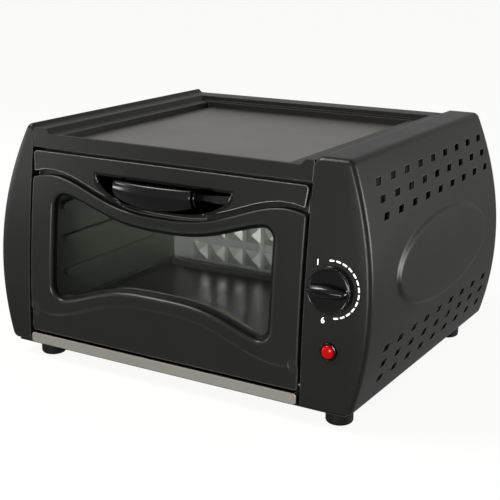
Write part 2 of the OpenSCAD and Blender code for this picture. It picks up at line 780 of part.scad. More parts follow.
// Side wall of the cavity at the right, with its pressed ribs and top flange
module cavity_side_wall() {
  wall_y0 = front_frame_back;
  flange_x = min(-ledge_left_x, ledge_right_x) - frame_t;
  flange_y = front_y(cavity_top_z) + front_frame_back + 2;
  rib_y0 = front_y(body_h) + front_frame_back + 3;
  rib_y1 = cavity_back_y - 14;
  x0 = cavity_half_w;
  x1 = cavity_half_w + liner_t;
  difference() {
    union() {
      behind_front(x0, x1, 0, cavity_top_z, wall_y0, cavity_back_y);
      block([flange_x, flange_y, cavity_top_z - liner_t], [x1, cavity_back_y - liner_t, cavity_top_z]);
      for (i = [0:rib_count - 1]) along_x(x0 - rib_reach, x0)
        slot_yz(rib_y0, rib_y1, rib_first_z + i * rib_pitch, rib_h);
    }
    for (i = [0:rib_count - 1]) along_x(x0 - rib_reach + liner_t, x1 + cut)
      slot_yz(rib_y0 + liner_t, rib_y1 - liner_t, rib_first_z + i * rib_pitch, rib_h - 2 * liner_t);
  }
}

module cavity_left_wall() seat() color([0.28, 0.29, 0.26]) mirror([1, 0, 0]) cavity_side_wall();

module cavity_right_wall() seat() color([0.28, 0.29, 0.26]) difference() {
  cavity_side_wall();
  for (z = heater_zs, s = [-1, 1])
    rod_x(heater_mid_y + s * heater_half_span, z, bush_d - 2,
      cavity_half_w - cut, cavity_half_w + liner_t + cut);
}

// Back wall with two nested raised frames and a field of pyramids
module cavity_rear_wall() seat() color([0.45, 0.45, 0.43]) {
  field_w = (waffle_columns - 1) * waffle_pitch_x + waffle_w;
  field_h = (waffle_rows - 1) * waffle_pitch_z + waffle_w;
  step = 1.5;
  inner_x = field_w / 2 + 6;
  outer_x = inner_x + 8.3;
  inner_z0 = waffle_low_z - 4;
  inner_z1 = waffle_low_z + field_h + 5;
  difference() {
    union() {
      block([-cavity_half_w, cavity_back_y - liner_t, 0], [cavity_half_w, cavity_back_y, cavity_top_z]);
      along_y(cavity_back_y - liner_t - step, cavity_back_y)
        round_rect(-outer_x, outer_x, inner_z0 - 5, inner_z1 + 5, 20);
      along_y(cavity_back_y - liner_t - 2 * step, cavity_back_y)
        round_rect(-inner_x, inner_x, inner_z0, inner_z1, 15);
    }
    along_y(cavity_back_y - step, cavity_back_y + cut)
      round_rect(-outer_x + liner_t, outer_x - liner_t, inner_z0 - 5 + liner_t, inner_z1 + 5 - liner_t, 19);
    along_y(cavity_back_y - 2 * step, cavity_back_y + cut)
      round_rect(-inner_x + liner_t, inner_x - liner_t, inner_z0 + liner_t, inner_z1 - liner_t, 14);
  }
  for (i = [0:waffle_columns - 1], j = [0:waffle_rows - 1])
    translate([
      (i - (waffle_columns - 1) / 2) * waffle_pitch_x,
      cavity_back_y - liner_t - 2 * step,
      waffle_low_z + waffle_w / 2 + j * waffle_pitch_z
    ]) rotate([90, 45, 0]) cylinder(d1 = waffle_w * sqrt(2), d2 = 0, h = waffle_h, $fn = 4);
}

// Sheet between the cavity and the electrical side
module heat_shield() seat() color([0.6, 0.6, 0.6]) difference() {
  union() {
    behind_front(shield_x, shield_x + shield_t, 0, rail_z - 4, front_frame_back + 4, shield_back_y);
    block([shield_x, shield_flange_y, 0], [shield_x + shield_flange_w, shield_back_y, shield_t]);
  }
  for (z = heater_zs, s = [-1, 1])
    rod_x(heater_mid_y + s * heater_half_span, z, heater_d + 4, shield_x - cut, shield_x + shield_t + cut);
}

// Tubular heater: two long runs along X joined by a half turn at the left
module heater(z) {
  bend_x = heater_left_x + heater_half_span;
  for (s = [-1, 1]) {
    rod_x(heater_mid_y + s * heater_half_span, z, heater_d, bend_x, heater_end_x);
    rod_x(heater_mid_y + s * heater_half_span, z, 3, heater_end_x, heater_end_x + heater_pin_l);
  }
  translate([bend_x, heater_mid_y, z]) rotate([0, 0, 90])
    rotate_extrude(angle = 180) translate([heater_half_span, 0]) circle(d = heater_d);
}

module upper_heater() seat() color([0.35, 0.34, 0.33]) heater(upper_heater_z);
module lower_heater() seat() color([0.35, 0.34, 0.33]) heater(lower_heater_z);

// Ceramic bushes where the heaters pass the cavity's right wall
module heater_bushes() seat() color([0.9, 0.88, 0.82]) for (z = heater_zs, s = [-1, 1])
  difference() {
    union() {
      rod_x(heater_mid_y + s * heater_half_span, z, bush_neck_d, cavity_half_w, cavity_half_w + bush_l);
      rod_x(heater_mid_y + s * heater_half_span, z, bush_d, cavity_half_w + liner_t, cavity_half_w + bush_l);
    }
    rod_x(heater_mid_y + s * heater_half_span, z, heater_d + 0.1,
      cavity_half_w - cut, cavity_half_w + bush_l + cut);
  }

// Two rests on the left wall that carry the heaters' half turns
module heater_rests() seat() color([0.6, 0.6, 0.6]) for (z = heater_zs)
  difference() {
    block([-cavity_half_w, heater_mid_y - rest_w / 2, z - heater_d / 2 - rest_drop],
      [heater_left_x + heater_d / 2 + rest_t, heater_mid_y + rest_w / 2, z - heater_d / 2]);
    block([-cavity_half_w + rest_t, heater_mid_y - rest_w / 2 + rest_t, z - heater_d / 2 - rest_drop - cut],
      [heater_left_x + heater_d / 2, heater_mid_y + rest_w / 2 - rest_t, z - heater_d / 2 - rest_t]);
  }

// Shallow tray whose rim rides on the lowest pair of ribs
module baking_tray() seat() color([0.2, 0.2, 0.2]) {
  rim_y0 = front_y(rib_first_z) + front_frame_back + 6;
  rim_y1 = cavity_back_y - liner_t - 8;
  rim_top = rib_first_z + rib_h / 2 + bake_t;
  rim_half = cavity_half_w - 0.8;
  pan_half = cavity_half_w - rib_reach - 0.8;
  difference() {
    union() {
      block([-rim_half, rim_y0, rim_top - bake_t], [rim_half, rim_y1, rim_top]);
      block([-pan_half, rim_y0 + bake_rim_w, rim_top - bake_h], [pan_half, rim_y1 - bake_rim_w, rim_top]);
    }
    block([-pan_half + bake_t, rim_y0 + bake_rim_w + bake_t, rim_top - bake_h + bake_t],
      [pan_half - bake_t, rim_y1 - bake_rim_w - bake_t, rim_top + cut]);
  }
}

// ---- top frame and hot plate ----

module top_frame() seat() color([0.14, 0.14, 0.14]) difference() {
  behind_front(-frame_x, frame_x, rail_z, rim_z, 0, body_d);
  // Hollow underneath, less deep below the well and not at all round the plate's seat
  difference() {
    behind_front(-frame_x + frame_t, frame_x - frame_t, rail_z - cut, rim_z - frame_t,
      frame_t, body_d - frame_t);
    block([well_left_x - frame_t, 0, ledge_z - frame_t],
      [well_right_x + frame_t, well_back_y + frame_t, rim_z]);
    block([ledge_left_x - frame_t, ledge_front_y - frame_t, seat_under_z],
      [ledge_right_x + frame_t, ledge_back_y + frame_t, ledge_z]);
  }
  // Upper step of the well, 45 degrees at the sides and the back, open over the front lip
  along_y(-cut, well_back_y) polygon([
    [well_left_x, rim_z + cut], [well_left_x, rim_z], [well_left_x + lip_drop, ledge_z],
    [well_right_x - lip_drop, ledge_z], [well_right_x, rim_z], [well_right_x, rim_z + cut]
  ]);
  // Lower step of the well and the opening under the hot plate
  block([ledge_left_x, ledge_front_y, plate_z - plate_t], [ledge_right_x, ledge_back_y, rim_z + cut]);
  block([ledge_left_x + plate_seat_w, ledge_front_y + plate_seat_w, rail_z - cut],
    [ledge_right_x - plate_seat_w, ledge_back_y - plate_seat_w, rim_z]);
  for (p = frame_screw_xy) translate([p[0], p[1], rail_z]) {
    cylinder(d = frame_screw_d + screw_gap, h = rail_h + cut);
    translate([0, 0, rail_h - screw_sink]) cylinder(d = screw_sink_d, h = screw_sink + cut);
  }
  for (p = [back_screw_xz[2], back_screw_xz[3]])
    rod_y(p[0], p[1], frame_screw_d + screw_gap, body_d - frame_t - cut, body_d + cut);
}

// Flat-head screws sunk into the top frame's rear corners
module top_frame_screws() seat() color([0.2, 0.2, 0.2]) for (p = frame_screw_xy)
  translate([p[0], p[1], rim_z - screw_sink]) {
    difference() {
      cylinder(d = screw_sink_d - 2 * screw_gap, h = sunk_head_h);
      for (a = [0, 90]) translate([0, 0, sunk_head_h]) rotate([0, 0, a])
        cube([screw_sink_d - 2.4, 0.8, sunk_head_h], center = true);
    }
    translate([0, 0, -frame_screw_l]) cylinder(d = frame_screw_d, h = frame_screw_l);
  }

module hot_plate() seat() color([0.62, 0.62, 0.6])
  block([ledge_left_x + plate_gap, ledge_front_y + plate_gap, plate_z - plate_t],
    [ledge_right_x - plate_gap, ledge_back_y - plate_gap, plate_z]);

module rear_panel_screws() seat() color([0.25, 0.25, 0.25]) for (p = back_screw_xz)
  translate([p[0], p[1] > rail_z ? body_d : back_panel_y, p[1]]) rotate([-90, 0, 0])
    pan_screw(back_screw_head_d, frame_screw_d, frame_screw_l);

// ---- door ----

lug_x0 = skin_t + 0.2;
lug_x1 = lug_x0 + pin_in_lug + 3;
lug_y0 = 3.1;
lug_y1 = 11;
lug_z0 = door_bottom_z + 1.5;
lug_z1 = 24;
lug_gap = 0.1;
door_tilt_z = (window_top_mid_z + window_low_mid_z) / 2;
door_tilt = atan(front_slope + (door_tilt_z - front_foot_z) / front_r);
plate_off = door_t - 1.4;
backing_web = 1.4;
glass_bow = pow((window_top_side_z - window_low_side_z) / 2 + glass_lap, 2) / (2 * front_r);
glass_off = panel_t + backing_web + glass_bow + 0.2;
door_screw_xz = [[-132, 40], [132, 40], [-132, 176], [132, 176], [0, 30], [0, 178.5]];

// Moves a child from the origin to depth off in the door, square to the front face
module on_door(x, z, off) {
  tilt = atan(front_slope + (z - front_foot_z) / front_r);
  translate([x, front_y(z), z]) rotate([-tilt, 0, 0]) translate([0, off, 0]) children();
}

// Space for both hinge lugs in the door, grown by g
module lug_spaces(g) {
  for (x = [[door_left_x + lug_x0, door_left_x + lug_x1], [door_right_x - lug_x1, door_right_x - lug_x0]])
    block([x[0] - g, lug_y0 - g, lug_z0 - g], [x[1] + g, lug_y1 + g, lug_z1 + g]);
}

// Passages for both hinge pins through the door's outer walls
module pin_passages() {
  rod_x(hinge_y, hinge_z, hinge_pin_d + 2 * pin_pass, -mouth_x, -mouth_x + lug_x1);
  rod_x(hinge_y, hinge_z, hinge_pin_d + 2 * pin_pass, mouth_x - lug_x1, mouth_x);
}

module door_window_panel() seat() color([0.15, 0.15, 0.14]) difference() {
  front_plate(panel_outline(), 0, panel_t);
  front_plate(window_outline(), -cut, panel_t + cut);
  difference() {
    front_plate(panel_outline(skin_t), skin_t + sill_step, panel_t + cut);
    front_plate(window_outline(skin_t), 0, panel_t + 2 * cut);
  }
  front_plate(concat(
    [for (x = steps_between(-mouth_x, mouth_x)) [x, sill_wave(x)]],
    [[mouth_x, 0], [-mouth_x, 0]]
  ), -cut, sill_step);
  lug_spaces(lug_gap);
  pin_passages();
}

module door_fascia() seat() color([0.15, 0.15, 0.14]) difference() {
  front_plate(fascia_outline(), 0, panel_t);
  front_plate(cup_outline(-0.2), -cut, panel_t + cut);
  difference() {
    front_plate(fascia_outline(skin_t), skin_t, panel_t + cut);
    front_plate(cup_outline(-skin_t), 0, panel_t + 2 * cut);
  }
}

// Gloss cup behind the grip, open to the front
module handle_cup() seat() color([0.04, 0.04, 0.04]) difference() {
  front_plate(cup_outline(), 0.5, cup_deep);
  front_plate(cup_outline(cup_t), -cut, cup_deep - cup_t);
}

grip_top_z = cup_top_z - cup_t - 0.3;

// Reach of the grip in front of the front face at x
function grip_at(x) =
  grip_end_reach + (grip_reach - grip_end_reach) * (1 - pow(x / grip_half_w, 2));

// Plan of the grip, g inside its front, from there back to depth y1
module grip_plan(g, y1) {
  face_y = front_y((grip_low_z + cup_top_z) / 2);
  linear_extrude(body_h) polygon(concat(
    [for (x = steps_between(-grip_half_w + g, grip_half_w - g, 16)) [x, face_y - grip_at(x) + g]],
    [[grip_half_w - g, y1], [-grip_half_w + g, y1]]
  ));
}

// Hooked grip: a bulging front wall, a flat top that runs back into the cup
module door_handle() seat() color([0.03, 0.03, 0.03]) intersection() {
  difference() {
    intersection() {
      along_y(-30, 40) polygon(grip_outline());
      grip_plan(0, 40);
    }
    intersection() {
      along_y(-30, 41) polygon([
        [-grip_half_w + grip_t, 0], [grip_half_w - grip_t, 0],
        [grip_half_w - grip_t, grip_top_z - grip_t], [-grip_half_w + grip_t, grip_top_z - grip_t]
      ]);
      grip_plan(grip_t, 41);
    }
  }
  front_layer(-grip_half_w, grip_half_w, 0, grip_top_z, -30, cup_deep - cup_t - 0.2);
}

// Pressed frame behind the mouldings, with a collar round the glass
module door_backing() seat() color([0.1, 0.1, 0.1]) {
  x0 = door_left_x + skin_t / 2;
  x1 = door_right_x - skin_t / 2;
  z0 = door_bottom_z + 1;
  z1 = door_top_z - 1;
  difference() {
    intersection() {
      front_layer(x0, x1, z0, z1, panel_t, plate_off);
      along_y(0, 80) round_rect(x0, x1, z0, z1, 3);
    }
    difference() {
      front_plate([
        [x0 + backing_web, z0 + backing_web], [x1 - backing_web, z0 + backing_web],
        [x1 - backing_web, z1 - backing_web], [x0 + backing_web, z1 - backing_web]
      ], panel_t + backing_web, plate_off + cut);
      front_plate(window_outline(glass_lap + 2), 0, plate_off + 2 * cut);
      front_plate(cup_outline(-0.2 - backing_web), 0, plate_off + 2 * cut);
      for (p = door_screw_xz) on_door(p[0], p[1], 0) rod_y(0, 0, 8, 0, plate_off + 2 * cut);
    }
    front_plate(window_outline(skin_t), 0, plate_off + cut);
    front_plate(window_outline(glass_lap + 0.5), panel_t + backing_web, plate_off + cut);
    front_plate(cup_outline(-0.2), 0, cup_deep + 0.2);
    lug_spaces(lug_gap);
    pin_passages();
    for (p = door_screw_xz) on_door(p[0], p[1], 0) rod_y(0, 0, 3, panel_t + backing_web, plate_off + 2 * cut);
  }
}

// Flat steel cover of the door's inner side, which keeps the glass in its collar
module door_inner_plate() seat() color([0.22, 0.22, 0.21]) difference() {
  front_plate([
    [door_left_x + skin_t / 2, door_bottom_z + 1], [door_right_x - skin_t / 2, door_bottom_z + 1],
    [door_right_x - skin_t / 2, door_top_z - 1], [door_left_x + skin_t / 2, door_top_z - 1]
  ], plate_off, door_t);
  front_plate(window_outline(), 0, door_t + cut);
  for (p = door_screw_xz) on_door(p[0], p[1], 0) rod_y(0, 0, 3.4, panel_t, door_t + cut);
}

module door_glass() seat() color([0.5, 0.55, 0.55, 0.35])
  translate([0, front_y(door_tilt_z) + glass_off, door_tilt_z]) rotate([-door_tilt, 0, 0])
    translate([0, 0, -door_tilt_z]) along_y(0, glass_t) polygon(window_outline(glass_lap));

module door_screws() seat() color([0.6, 0.6, 0.6]) for (p = door_screw_xz)
  on_door(p[0], p[1], door_t) rotate([-90, 0, 0]) pan_screw(5, 2.8, 6);

// Steel lug at one lower corner of the door, bored for the hinge pin
module hinge_lug(x0, x1) {
  difference() {
    block([x0, lug_y0, lug_z0], [x1, lug_y1, lug_z1]);
    rod_x(hinge_y, hinge_z, hinge_pin_d + 2 * pin_fit, x0 - cut, x1 + cut);
  }
}

module left_hinge_lug() seat() color([0.65, 0.65, 0.65])
  hinge_lug(door_left_x + lug_x0, door_left_x + lug_x1);
module right_hinge_lug() seat() color([0.65, 0.65, 0.65])
  hinge_lug(door_right_x - lug_x1, door_right_x - lug_x0);

// Hinge pin with its head, from beyond the bracket into the lug that starts at lug_end
module hinge_pin(lug_end) {
  rod_x(hinge_y, hinge_z, hinge_pin_d, lug_end - pin_in_lug, bracket_x + bracket_t);
  rod_x(hinge_y, hinge_z, hinge_pin_d + pin_head_w,
    bracket_x + bracket_t, bracket_x + bracket_t + pin_head_h);
}

pin_head_w = 3;
pin_head_h = 1.5;
bracket_t = 1.5;
bracket_x = mouth_x + cover_t + 0.1;
bracket_y0 = 3.5;
bracket_y1 = 28;
bracket_h = 26;
bracket_foot_w = 5.5;
pin_press = 0.02;

module left_hinge_pin() seat() color([0.75, 0.75, 0.75])
  mirror([1, 0, 0]) hinge_pin(-door_left_x - lug_x0);
module right_hinge_pin() seat() color([0.75, 0.75, 0.75]) hinge_pin(door_right_x - lug_x0);

// Angle bracket on the base pan, outside the cover's return flange
module hinge_bracket() {
  difference() {
    union() {
      block([bracket_x, bracket_y0, 0], [bracket_x + bracket_t, bracket_y1, bracket_h]);
      block([bracket_x, bracket_y0, 0], [bracket_x + bracket_foot_w, bracket_y1, bracket_t]);
    }
    rod_x(hinge_y, hinge_z, hinge_pin_d + pin_press, bracket_x - cut, bracket_x + bracket_t + cut);
  }
}

module left_hinge_bracket() seat() color([0.6, 0.6, 0.6]) mirror([1, 0, 0]) hinge_bracket();
module right_hinge_bracket() seat() color([0.6, 0.6, 0.6]) hinge_bracket();

// ---- crumb tray ----

crumb_z0 = 0.3;

module crumb_tray() seat() color([0.7, 0.7, 0.68]) {
  half = cavity_half_w - crumb_gap;
  back = cavity_back_y - liner_t - 4;
  difference() {
    block([-half, strip_t, crumb_z0], [half, back, crumb_z0 + crumb_h]);
    block([-half + crumb_t, strip_t + crumb_t, crumb_z0 + crumb_t],
      [half - crumb_t, back - crumb_t, crumb_z0 + crumb_h + cut]);
  }
}

module tray_front_strip() seat() color([0.74, 0.73, 0.68])
  along_y(0, strip_t) round_rect(door_left_x, door_right_x, crumb_z0, crumb_z0 + strip_h, strip_r);

// ---- controls ----

knob_wall = 2;
knob_face_t = 3;
knob_hub_d = 10;
knob_hub_y = -3.5;
knob_press = 0.04;
shaft_end_gap = 0.2;
thermo_bush_d = shaft_d + 2 * shaft_gap - 0.4;
thermo_bush_y = -3;
thermo_nut_w = 5;
thermo_nut_y = [-2.2, -0.2];
thermo_body = 28;
thermo_deep = 22;
thermo_shaft_y = 14;
lamp_flange_y = [-2.4, -0.2];
lamp_sleeve_w = 1.6;
lamp_sleeve_y = 9;
lamp_lens_y = [-2, 6];
lamp_dome_h = lamp_lens_d * 0.18;
lamp_body = 16;
lamp_back_y = 24;

module control_knob() seat() color([0.05, 0.05, 0.05]) on_panel(knob_z, panel_tilt_knob) difference() {
  union() {
    rod_y(0, 0, knob_d, -knob_gap - knob_deep, -knob_gap);
    intersection() {
      rod_y(0, 0, knob_d - knob_wall, -knob_gap - knob_deep - knob_bar_reach, -knob_gap);
      block([-knob_d, -knob_gap - knob_deep - knob_bar_reach, -knob_bar_w / 2], [knob_d, 0, knob_bar_w / 2]);
    }
  }
  difference() {
    rod_y(0, 0, knob_d - 2 * knob_wall, -knob_gap - knob_deep + knob_face_t, -knob_gap + cut);
    rod_y(0, 0, knob_hub_d, -knob_gap - knob_deep, knob_hub_y);
  }
  rod_y(0, 0, shaft_d + knob_press, -knob_gap - knob_deep + knob_face_t / 3, 0);
}

module thermostat_shaft() seat() color([0.7, 0.7, 0.7]) on_panel(knob_z, panel_tilt_knob)
  rod_y(0, 0, shaft_d, -knob_gap - knob_deep + knob_face_t / 3 + shaft_end_gap, thermo_shaft_y);

// Thermostat with a threaded bush through the panel and its nut under the knob
module thermostat() seat() color([0.5, 0.5, 0.5]) on_panel(knob_z, panel_tilt_knob) difference() {
  union() {
    block([-thermo_body / 2, cover_t + 0.2, -thermo_body / 2],
      [thermo_body / 2, cover_t + thermo_deep, thermo_body / 2]);
    rod_y(0, 0, thermo_bush_d, thermo_bush_y, cover_t + 1);
    rod_y(0, 0, thermo_bush_d + thermo_nut_w, thermo_nut_y[0], thermo_nut_y[1]);
  }
  rod_y(0, 0, shaft_d + 0.1, thermo_bush_y - cut, thermo_shaft_y + cut);
}

module pilot_lamp_bezel() seat() color([0.04, 0.04, 0.04]) on_panel(lamp_z, panel_tilt_lamp) difference() {
  union() {
    rod_y(0, 0, lamp_bezel_d, lamp_flange_y[0], lamp_flange_y[1]);
    rod_y(0, 0, lamp_lens_d + lamp_sleeve_w, lamp_flange_y[0], lamp_sleeve_y);
  }
  rod_y(0, 0, lamp_lens_d + 0.1, lamp_flange_y[0] - cut, lamp_sleeve_y + cut);
}

module pilot_lamp_lens() seat() color([0.85, 0.02, 0.03]) on_panel(lamp_z, panel_tilt_lamp) {
  dome_r = lamp_lens_d * 0.9;
  rod_y(0, 0, lamp_lens_d, lamp_lens_y[0], lamp_lens_y[1]);
  intersection() {
    rod_y(0, 0, lamp_lens_d, lamp_lens_y[0] - 2 * lamp_dome_h, lamp_lens_y[0]);
    translate([0, lamp_lens_y[0] - lamp_dome_h + dome_r, 0]) sphere(dome_r);
  }
}

module pilot_lamp_holder() seat() color([0.85, 0.85, 0.8]) on_panel(lamp_z, panel_tilt_lamp) {
  rod_y(0, 0, lamp_lens_d, lamp_lens_y[1], lamp_sleeve_y + cut);
  block([-lamp_body / 2, lamp_sleeve_y, -lamp_body / 2], [lamp_body / 2, lamp_back_y, lamp_body / 2]);
}

// ---- mains ----

terminal_a = [mouth_x + 9, 240, 0];
terminal_size = [20, 26, 14];
wire_d = 3;

module cord_gland() seat() color([0.06, 0.06, 0.06]) difference() {
  union() {
    rod_y(gland_x, gland_z, gland_neck_d + 2 * gland_lip_w, back_panel_y, back_panel_y + gland_head_l);
    rod_y(gland_x, gland_z, gland_neck_d, back_panel_y - gland_neck_l, back_panel_y + gland_head_l);
    rod_y(gland_x, gland_z, gland_neck_d + 2 * gland_lip_w,
      back_panel_y - back_panel_t - 2 * gland_lip_w, back_panel_y - back_panel_t);
  }
  rod_y(gland_x, gland_z, gland_bore_d, back_panel_y - gland_neck_l - cut, back_panel_y + gland_head_l + cut);
}

module terminal_block() seat() color([0.92, 0.9, 0.84]) difference() {
  block(terminal_a, terminal_a + terminal_size);
  for (i = [0:2]) translate(terminal_a + [4 + 6 * i, -cut, 8])
    rotate([-90, 0, 0]) cylinder(d = wire_d + 0.4, h = terminal_size[1] + 2 * cut);
}

// Round wire along a list of points, a little thicker at its bends
module wire(points) {
  for (i = [0:len(points) - 2]) {
    d = points[i + 1] - points[i];
    l = norm(d);
    translate(points[i]) rotate([0, acos(d[2] / l), atan2(d[1], d[0])]) cylinder(d = wire_d, h = l);
    if (i > 0) translate(points[i]) sphere(d = wire_d * 1.15, $fn = 24);
  }
}

// A point given in the panel's own frame at height z
function panel_point(z, tilt, p) = [
  knob_cx + p[0],
  front_y(z) + p[1] * cos(tilt) + p[2] * sin(tilt),
  z - p[1] * sin(tilt) + p[2] * cos(tilt)
];

// Insulated wires from the terminal block to the heaters, the thermostat and the lamp
module mains_wires() seat() color([0.8, 0.8, 0.76]) {
  outlet = [for (i = [0:2]) terminal_a + [4 + 6 * i, 0.5, 8]];
  heat_x = heater_end_x + heater_pin_l + wire_d / 2;
  heat_y = heater_mid_y + heater_half_span;
  thermo_y = cover_t + thermo_deep;
  wire([outlet[0], outlet[0] - [0, 30, 0], [heat_x, heat_y, outlet[0][2] + 30],
    [heat_x, heat_y, upper_heater_z]]);
  wire([outlet[1], outlet[1] - [0, 90, 0], panel_point(knob_z, panel_tilt_knob, [-4, thermo_y + 20, -8]),
    panel_point(knob_z, panel_tilt_knob, [-4, thermo_y, -8])]);
  wire([outlet[2], outlet[2] - [0, 150, 0], panel_point(lamp_z, panel_tilt_lamp, [4, lamp_back_y + 16, 0]),
    panel_point(lamp_z, panel_tilt_lamp, [4, lamp_back_y, 0])]);
}

base_pan();
front_left_foot();
front_right_foot();
rear_left_foot();
rear_right_foot();
foot_screws();
left_side_cover();
right_side_cover();
rear_panel();
front_frame();
cavity_left_wall();
cavity_right_wall();
cavity_rear_wall();
heat_shield();
top_frame();
hot_plate();
upper_heater();
lower_heater();
heater_bushes();
heater_rests();
baking_tray();
left_hinge_bracket();
right_hinge_bracket();
left_hinge_pin();
right_hinge_pin();
thermostat();
pilot_lamp_bezel();
pilot_lamp_lens();
pilot_lamp_holder();
cord_gland();
terminal_block();
mains_wires();
top_frame_screws();
rear_panel_screws();
door_magnets();
door_window_panel();
door_fascia();
door_handle();
handle_cup();
door_backing();
door_inner_plate();
door_glass();
left_hinge_lug();
right_hinge_lug();
door_screws();
crumb_tray();
tray_front_strip();
control_knob();
thermostat_shaft();
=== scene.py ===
"""Looks of a counter-top tandoor oven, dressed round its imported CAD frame.

Sizes are in millimetres, measured as in the part's source: X from the middle of the
mouth, Y from the foot of the front face, Z from the top of the base pan. at() turns
such a point into the frame's metres.
"""

import json
import logging
import math
from collections.abc import Callable, Iterator, Sequence
from contextlib import contextmanager
from dataclasses import dataclass, field
from enum import Enum

import bpy
from mathutils import Matrix, Vector

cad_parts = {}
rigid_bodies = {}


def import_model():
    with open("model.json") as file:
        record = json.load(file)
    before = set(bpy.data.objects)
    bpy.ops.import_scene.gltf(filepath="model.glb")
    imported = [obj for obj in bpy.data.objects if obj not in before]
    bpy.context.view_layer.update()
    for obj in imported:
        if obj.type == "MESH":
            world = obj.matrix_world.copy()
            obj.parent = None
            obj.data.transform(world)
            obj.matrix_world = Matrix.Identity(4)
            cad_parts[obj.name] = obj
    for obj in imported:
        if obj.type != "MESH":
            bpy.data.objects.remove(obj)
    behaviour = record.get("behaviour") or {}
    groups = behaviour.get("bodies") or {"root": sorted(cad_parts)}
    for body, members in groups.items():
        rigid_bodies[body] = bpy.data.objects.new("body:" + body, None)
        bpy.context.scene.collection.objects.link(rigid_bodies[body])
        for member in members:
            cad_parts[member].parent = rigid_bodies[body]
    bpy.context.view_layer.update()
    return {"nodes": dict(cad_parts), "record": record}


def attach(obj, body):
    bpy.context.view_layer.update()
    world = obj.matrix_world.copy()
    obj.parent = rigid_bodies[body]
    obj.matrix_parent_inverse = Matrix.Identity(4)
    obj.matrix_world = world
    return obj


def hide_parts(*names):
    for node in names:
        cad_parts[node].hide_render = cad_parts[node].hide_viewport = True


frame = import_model()

LOG = logging.getLogger("tandoor")
MM = 0.001
BODY_SHIFT = Vector((-12.1, -147.696, 14.5))

Object = bpy.types.Object
Material = bpy.types.Material
Point = tuple[float, float]
Four = tuple[float, float, float, float]
Colour = tuple[float, float, float]


# ---------------------------------------------------------------- shared curves


@dataclass(frozen=True)
class FrontFace:
    """The leaning, slightly bellied front that door, covers and rail share."""

    slope: float = 0.0242
    radius: float = 1302.0
    foot_z: float = 8.0

    def y(self, z: float) -> float:
        """Depth of the face at height z."""
        t = max(z - self.foot_z, 0.0)
        return self.slope * t + t * t / (2 * self.radius)

    def tilt(self, z: float) -> float:
        """Lean of the face at height z, in radians."""
        return math.atan(self.slope + (z - self.foot_z) / self.radius)


FRONT = FrontFace()


def at(x: float, y: float, z: float) -> Vector:
    """The frame's point, in metres, of a point in the oven's own millimetres."""
    return (Vector((x, y, z)) + BODY_SHIFT) * MM


def wave(x: float, mid: float, side: float, reach: float, power: float) -> float:
    """Height of a long wave.

    Args:
        x: Place across the door.
        mid: Height in the middle.
        side: Height at the crests.
        reach: Distance of the crests from the middle.
        power: Shape of the rise.

    Returns:
        The height at x.
    """
    return mid + (side - mid) * math.sin(math.pi / 2 * (abs(x) / reach) ** power) ** 2


def smooth(t: float) -> float:
    """Soft step from 0 to 1 as t goes from 0 to 1."""
    t = min(max(t, 0.0), 1.0)
    return t * t * (3 - 2 * t)


def lerp(a: float, b: float, t: float) -> float:
    """Number that lies the share t of the way from a to b."""
    return a + (b - a) * t


def spread(a: float, b: float, n: int) -> list[float]:
    """n + 1 even steps from a to b."""
    return [a + (b - a) * i / n for i in range(n + 1)]


def arc(cx: float, cz: float, r: float, a0: float, a1: float, n: int) -> list[Point]:
    """n + 1 points of an arc about (cx, cz), from angle a0 to a1 in degrees."""
    return [
        (cx + r * math.cos(math.radians(a)), cz + r * math.sin(math.radians(a)))
        for a in spread(a0, a1, n)
    ]


# ---------------------------------------------------------------- shader groups


def srgb(red: float, green: float, blue: float) -> Colour:
    """Linear colour of a screen colour given from 0 to 255."""
    return tuple(
        c / 12.92 if c <= 0.04045 else ((c + 0.055) / 1.055) ** 2.4
        for c in (red / 255, green / 255, blue / 255)
    )


class Sheet:
    """A node tree being wired: short ways to add nodes and links."""

    def __init__(self, tree: bpy.types.NodeTree) -> None:
        """Starts on an emptied tree."""
        self.tree = tree
        tree.nodes.clear()

    def wire(self, source: object, target: object) -> None:
        """Feeds an input socket from an output socket, a colour or a number."""
        if isinstance(source, (int, float)):
            target.default_value = source
        elif isinstance(source, tuple):
            target.default_value = (*source, 1.0)
        else:
            self.tree.links.new(source, target)

    def add(self, kind: str, fed: dict | None = None, **settings: object) -> bpy.types.Node:
        """Adds a node, sets its properties and feeds its inputs.

        Args:
            kind: The node's type name.
            fed: What its inputs take, by their names or numbers.
            **settings: Properties of the node.

        Returns:
            The new node.
        """
        node = self.tree.nodes.new(kind)
        for name, value in settings.items():
            setattr(node, name, value)
        for key, value in (fed or {}).items():
            self.wire(value, node.inputs[key])
        return node

    def group(self, tree: bpy.types.NodeTree, fed: dict[str, float]) -> Sequence:
        """Outputs of a shader group, with the numbers that it is given."""
        return self.add("ShaderNodeGroup", fed, node_tree=tree).outputs

    def maths(self, how: str, a: object, b: object, clamp: bool = False) -> object:
        """A Math node.

        Args:
            how: Its operation.
            a: First socket or number.
            b: Second socket or number.
            clamp: Whether the result is kept from 0 to 1.

        Returns:
            The output socket.
        """
        return self.add("ShaderNodeMath", {0: a, 1: b}, operation=how, use_clamp=clamp).outputs[0]

    def blend(self, factor: object, a: object, b: object) -> object:
        """Output of a colour Mix node from a to b, each a socket or a colour."""
        return self.add("ShaderNodeMix", {0: factor, 6: a, 7: b}, data_type="RGBA").outputs[2]

    def mix(self, factor: object, a: object, b: object) -> object:
        """Output of a Mix Shader node from a to b."""
        return self.add("ShaderNodeMixShader", {0: factor, 1: a, 2: b}).outputs[0]

    def noise(self, place: object, scale: object, detail: float = 2.0) -> object:
        """Output of a Noise Texture node.

        Args:
            place: Socket with the coordinates.
            scale: Socket or number.
            detail: Its octaves.

        Returns:
            The output socket.
        """
        fed = {"Vector": place, "Scale": scale, "Detail": detail}
        return self.add("ShaderNodeTexNoise", fed).outputs[0]


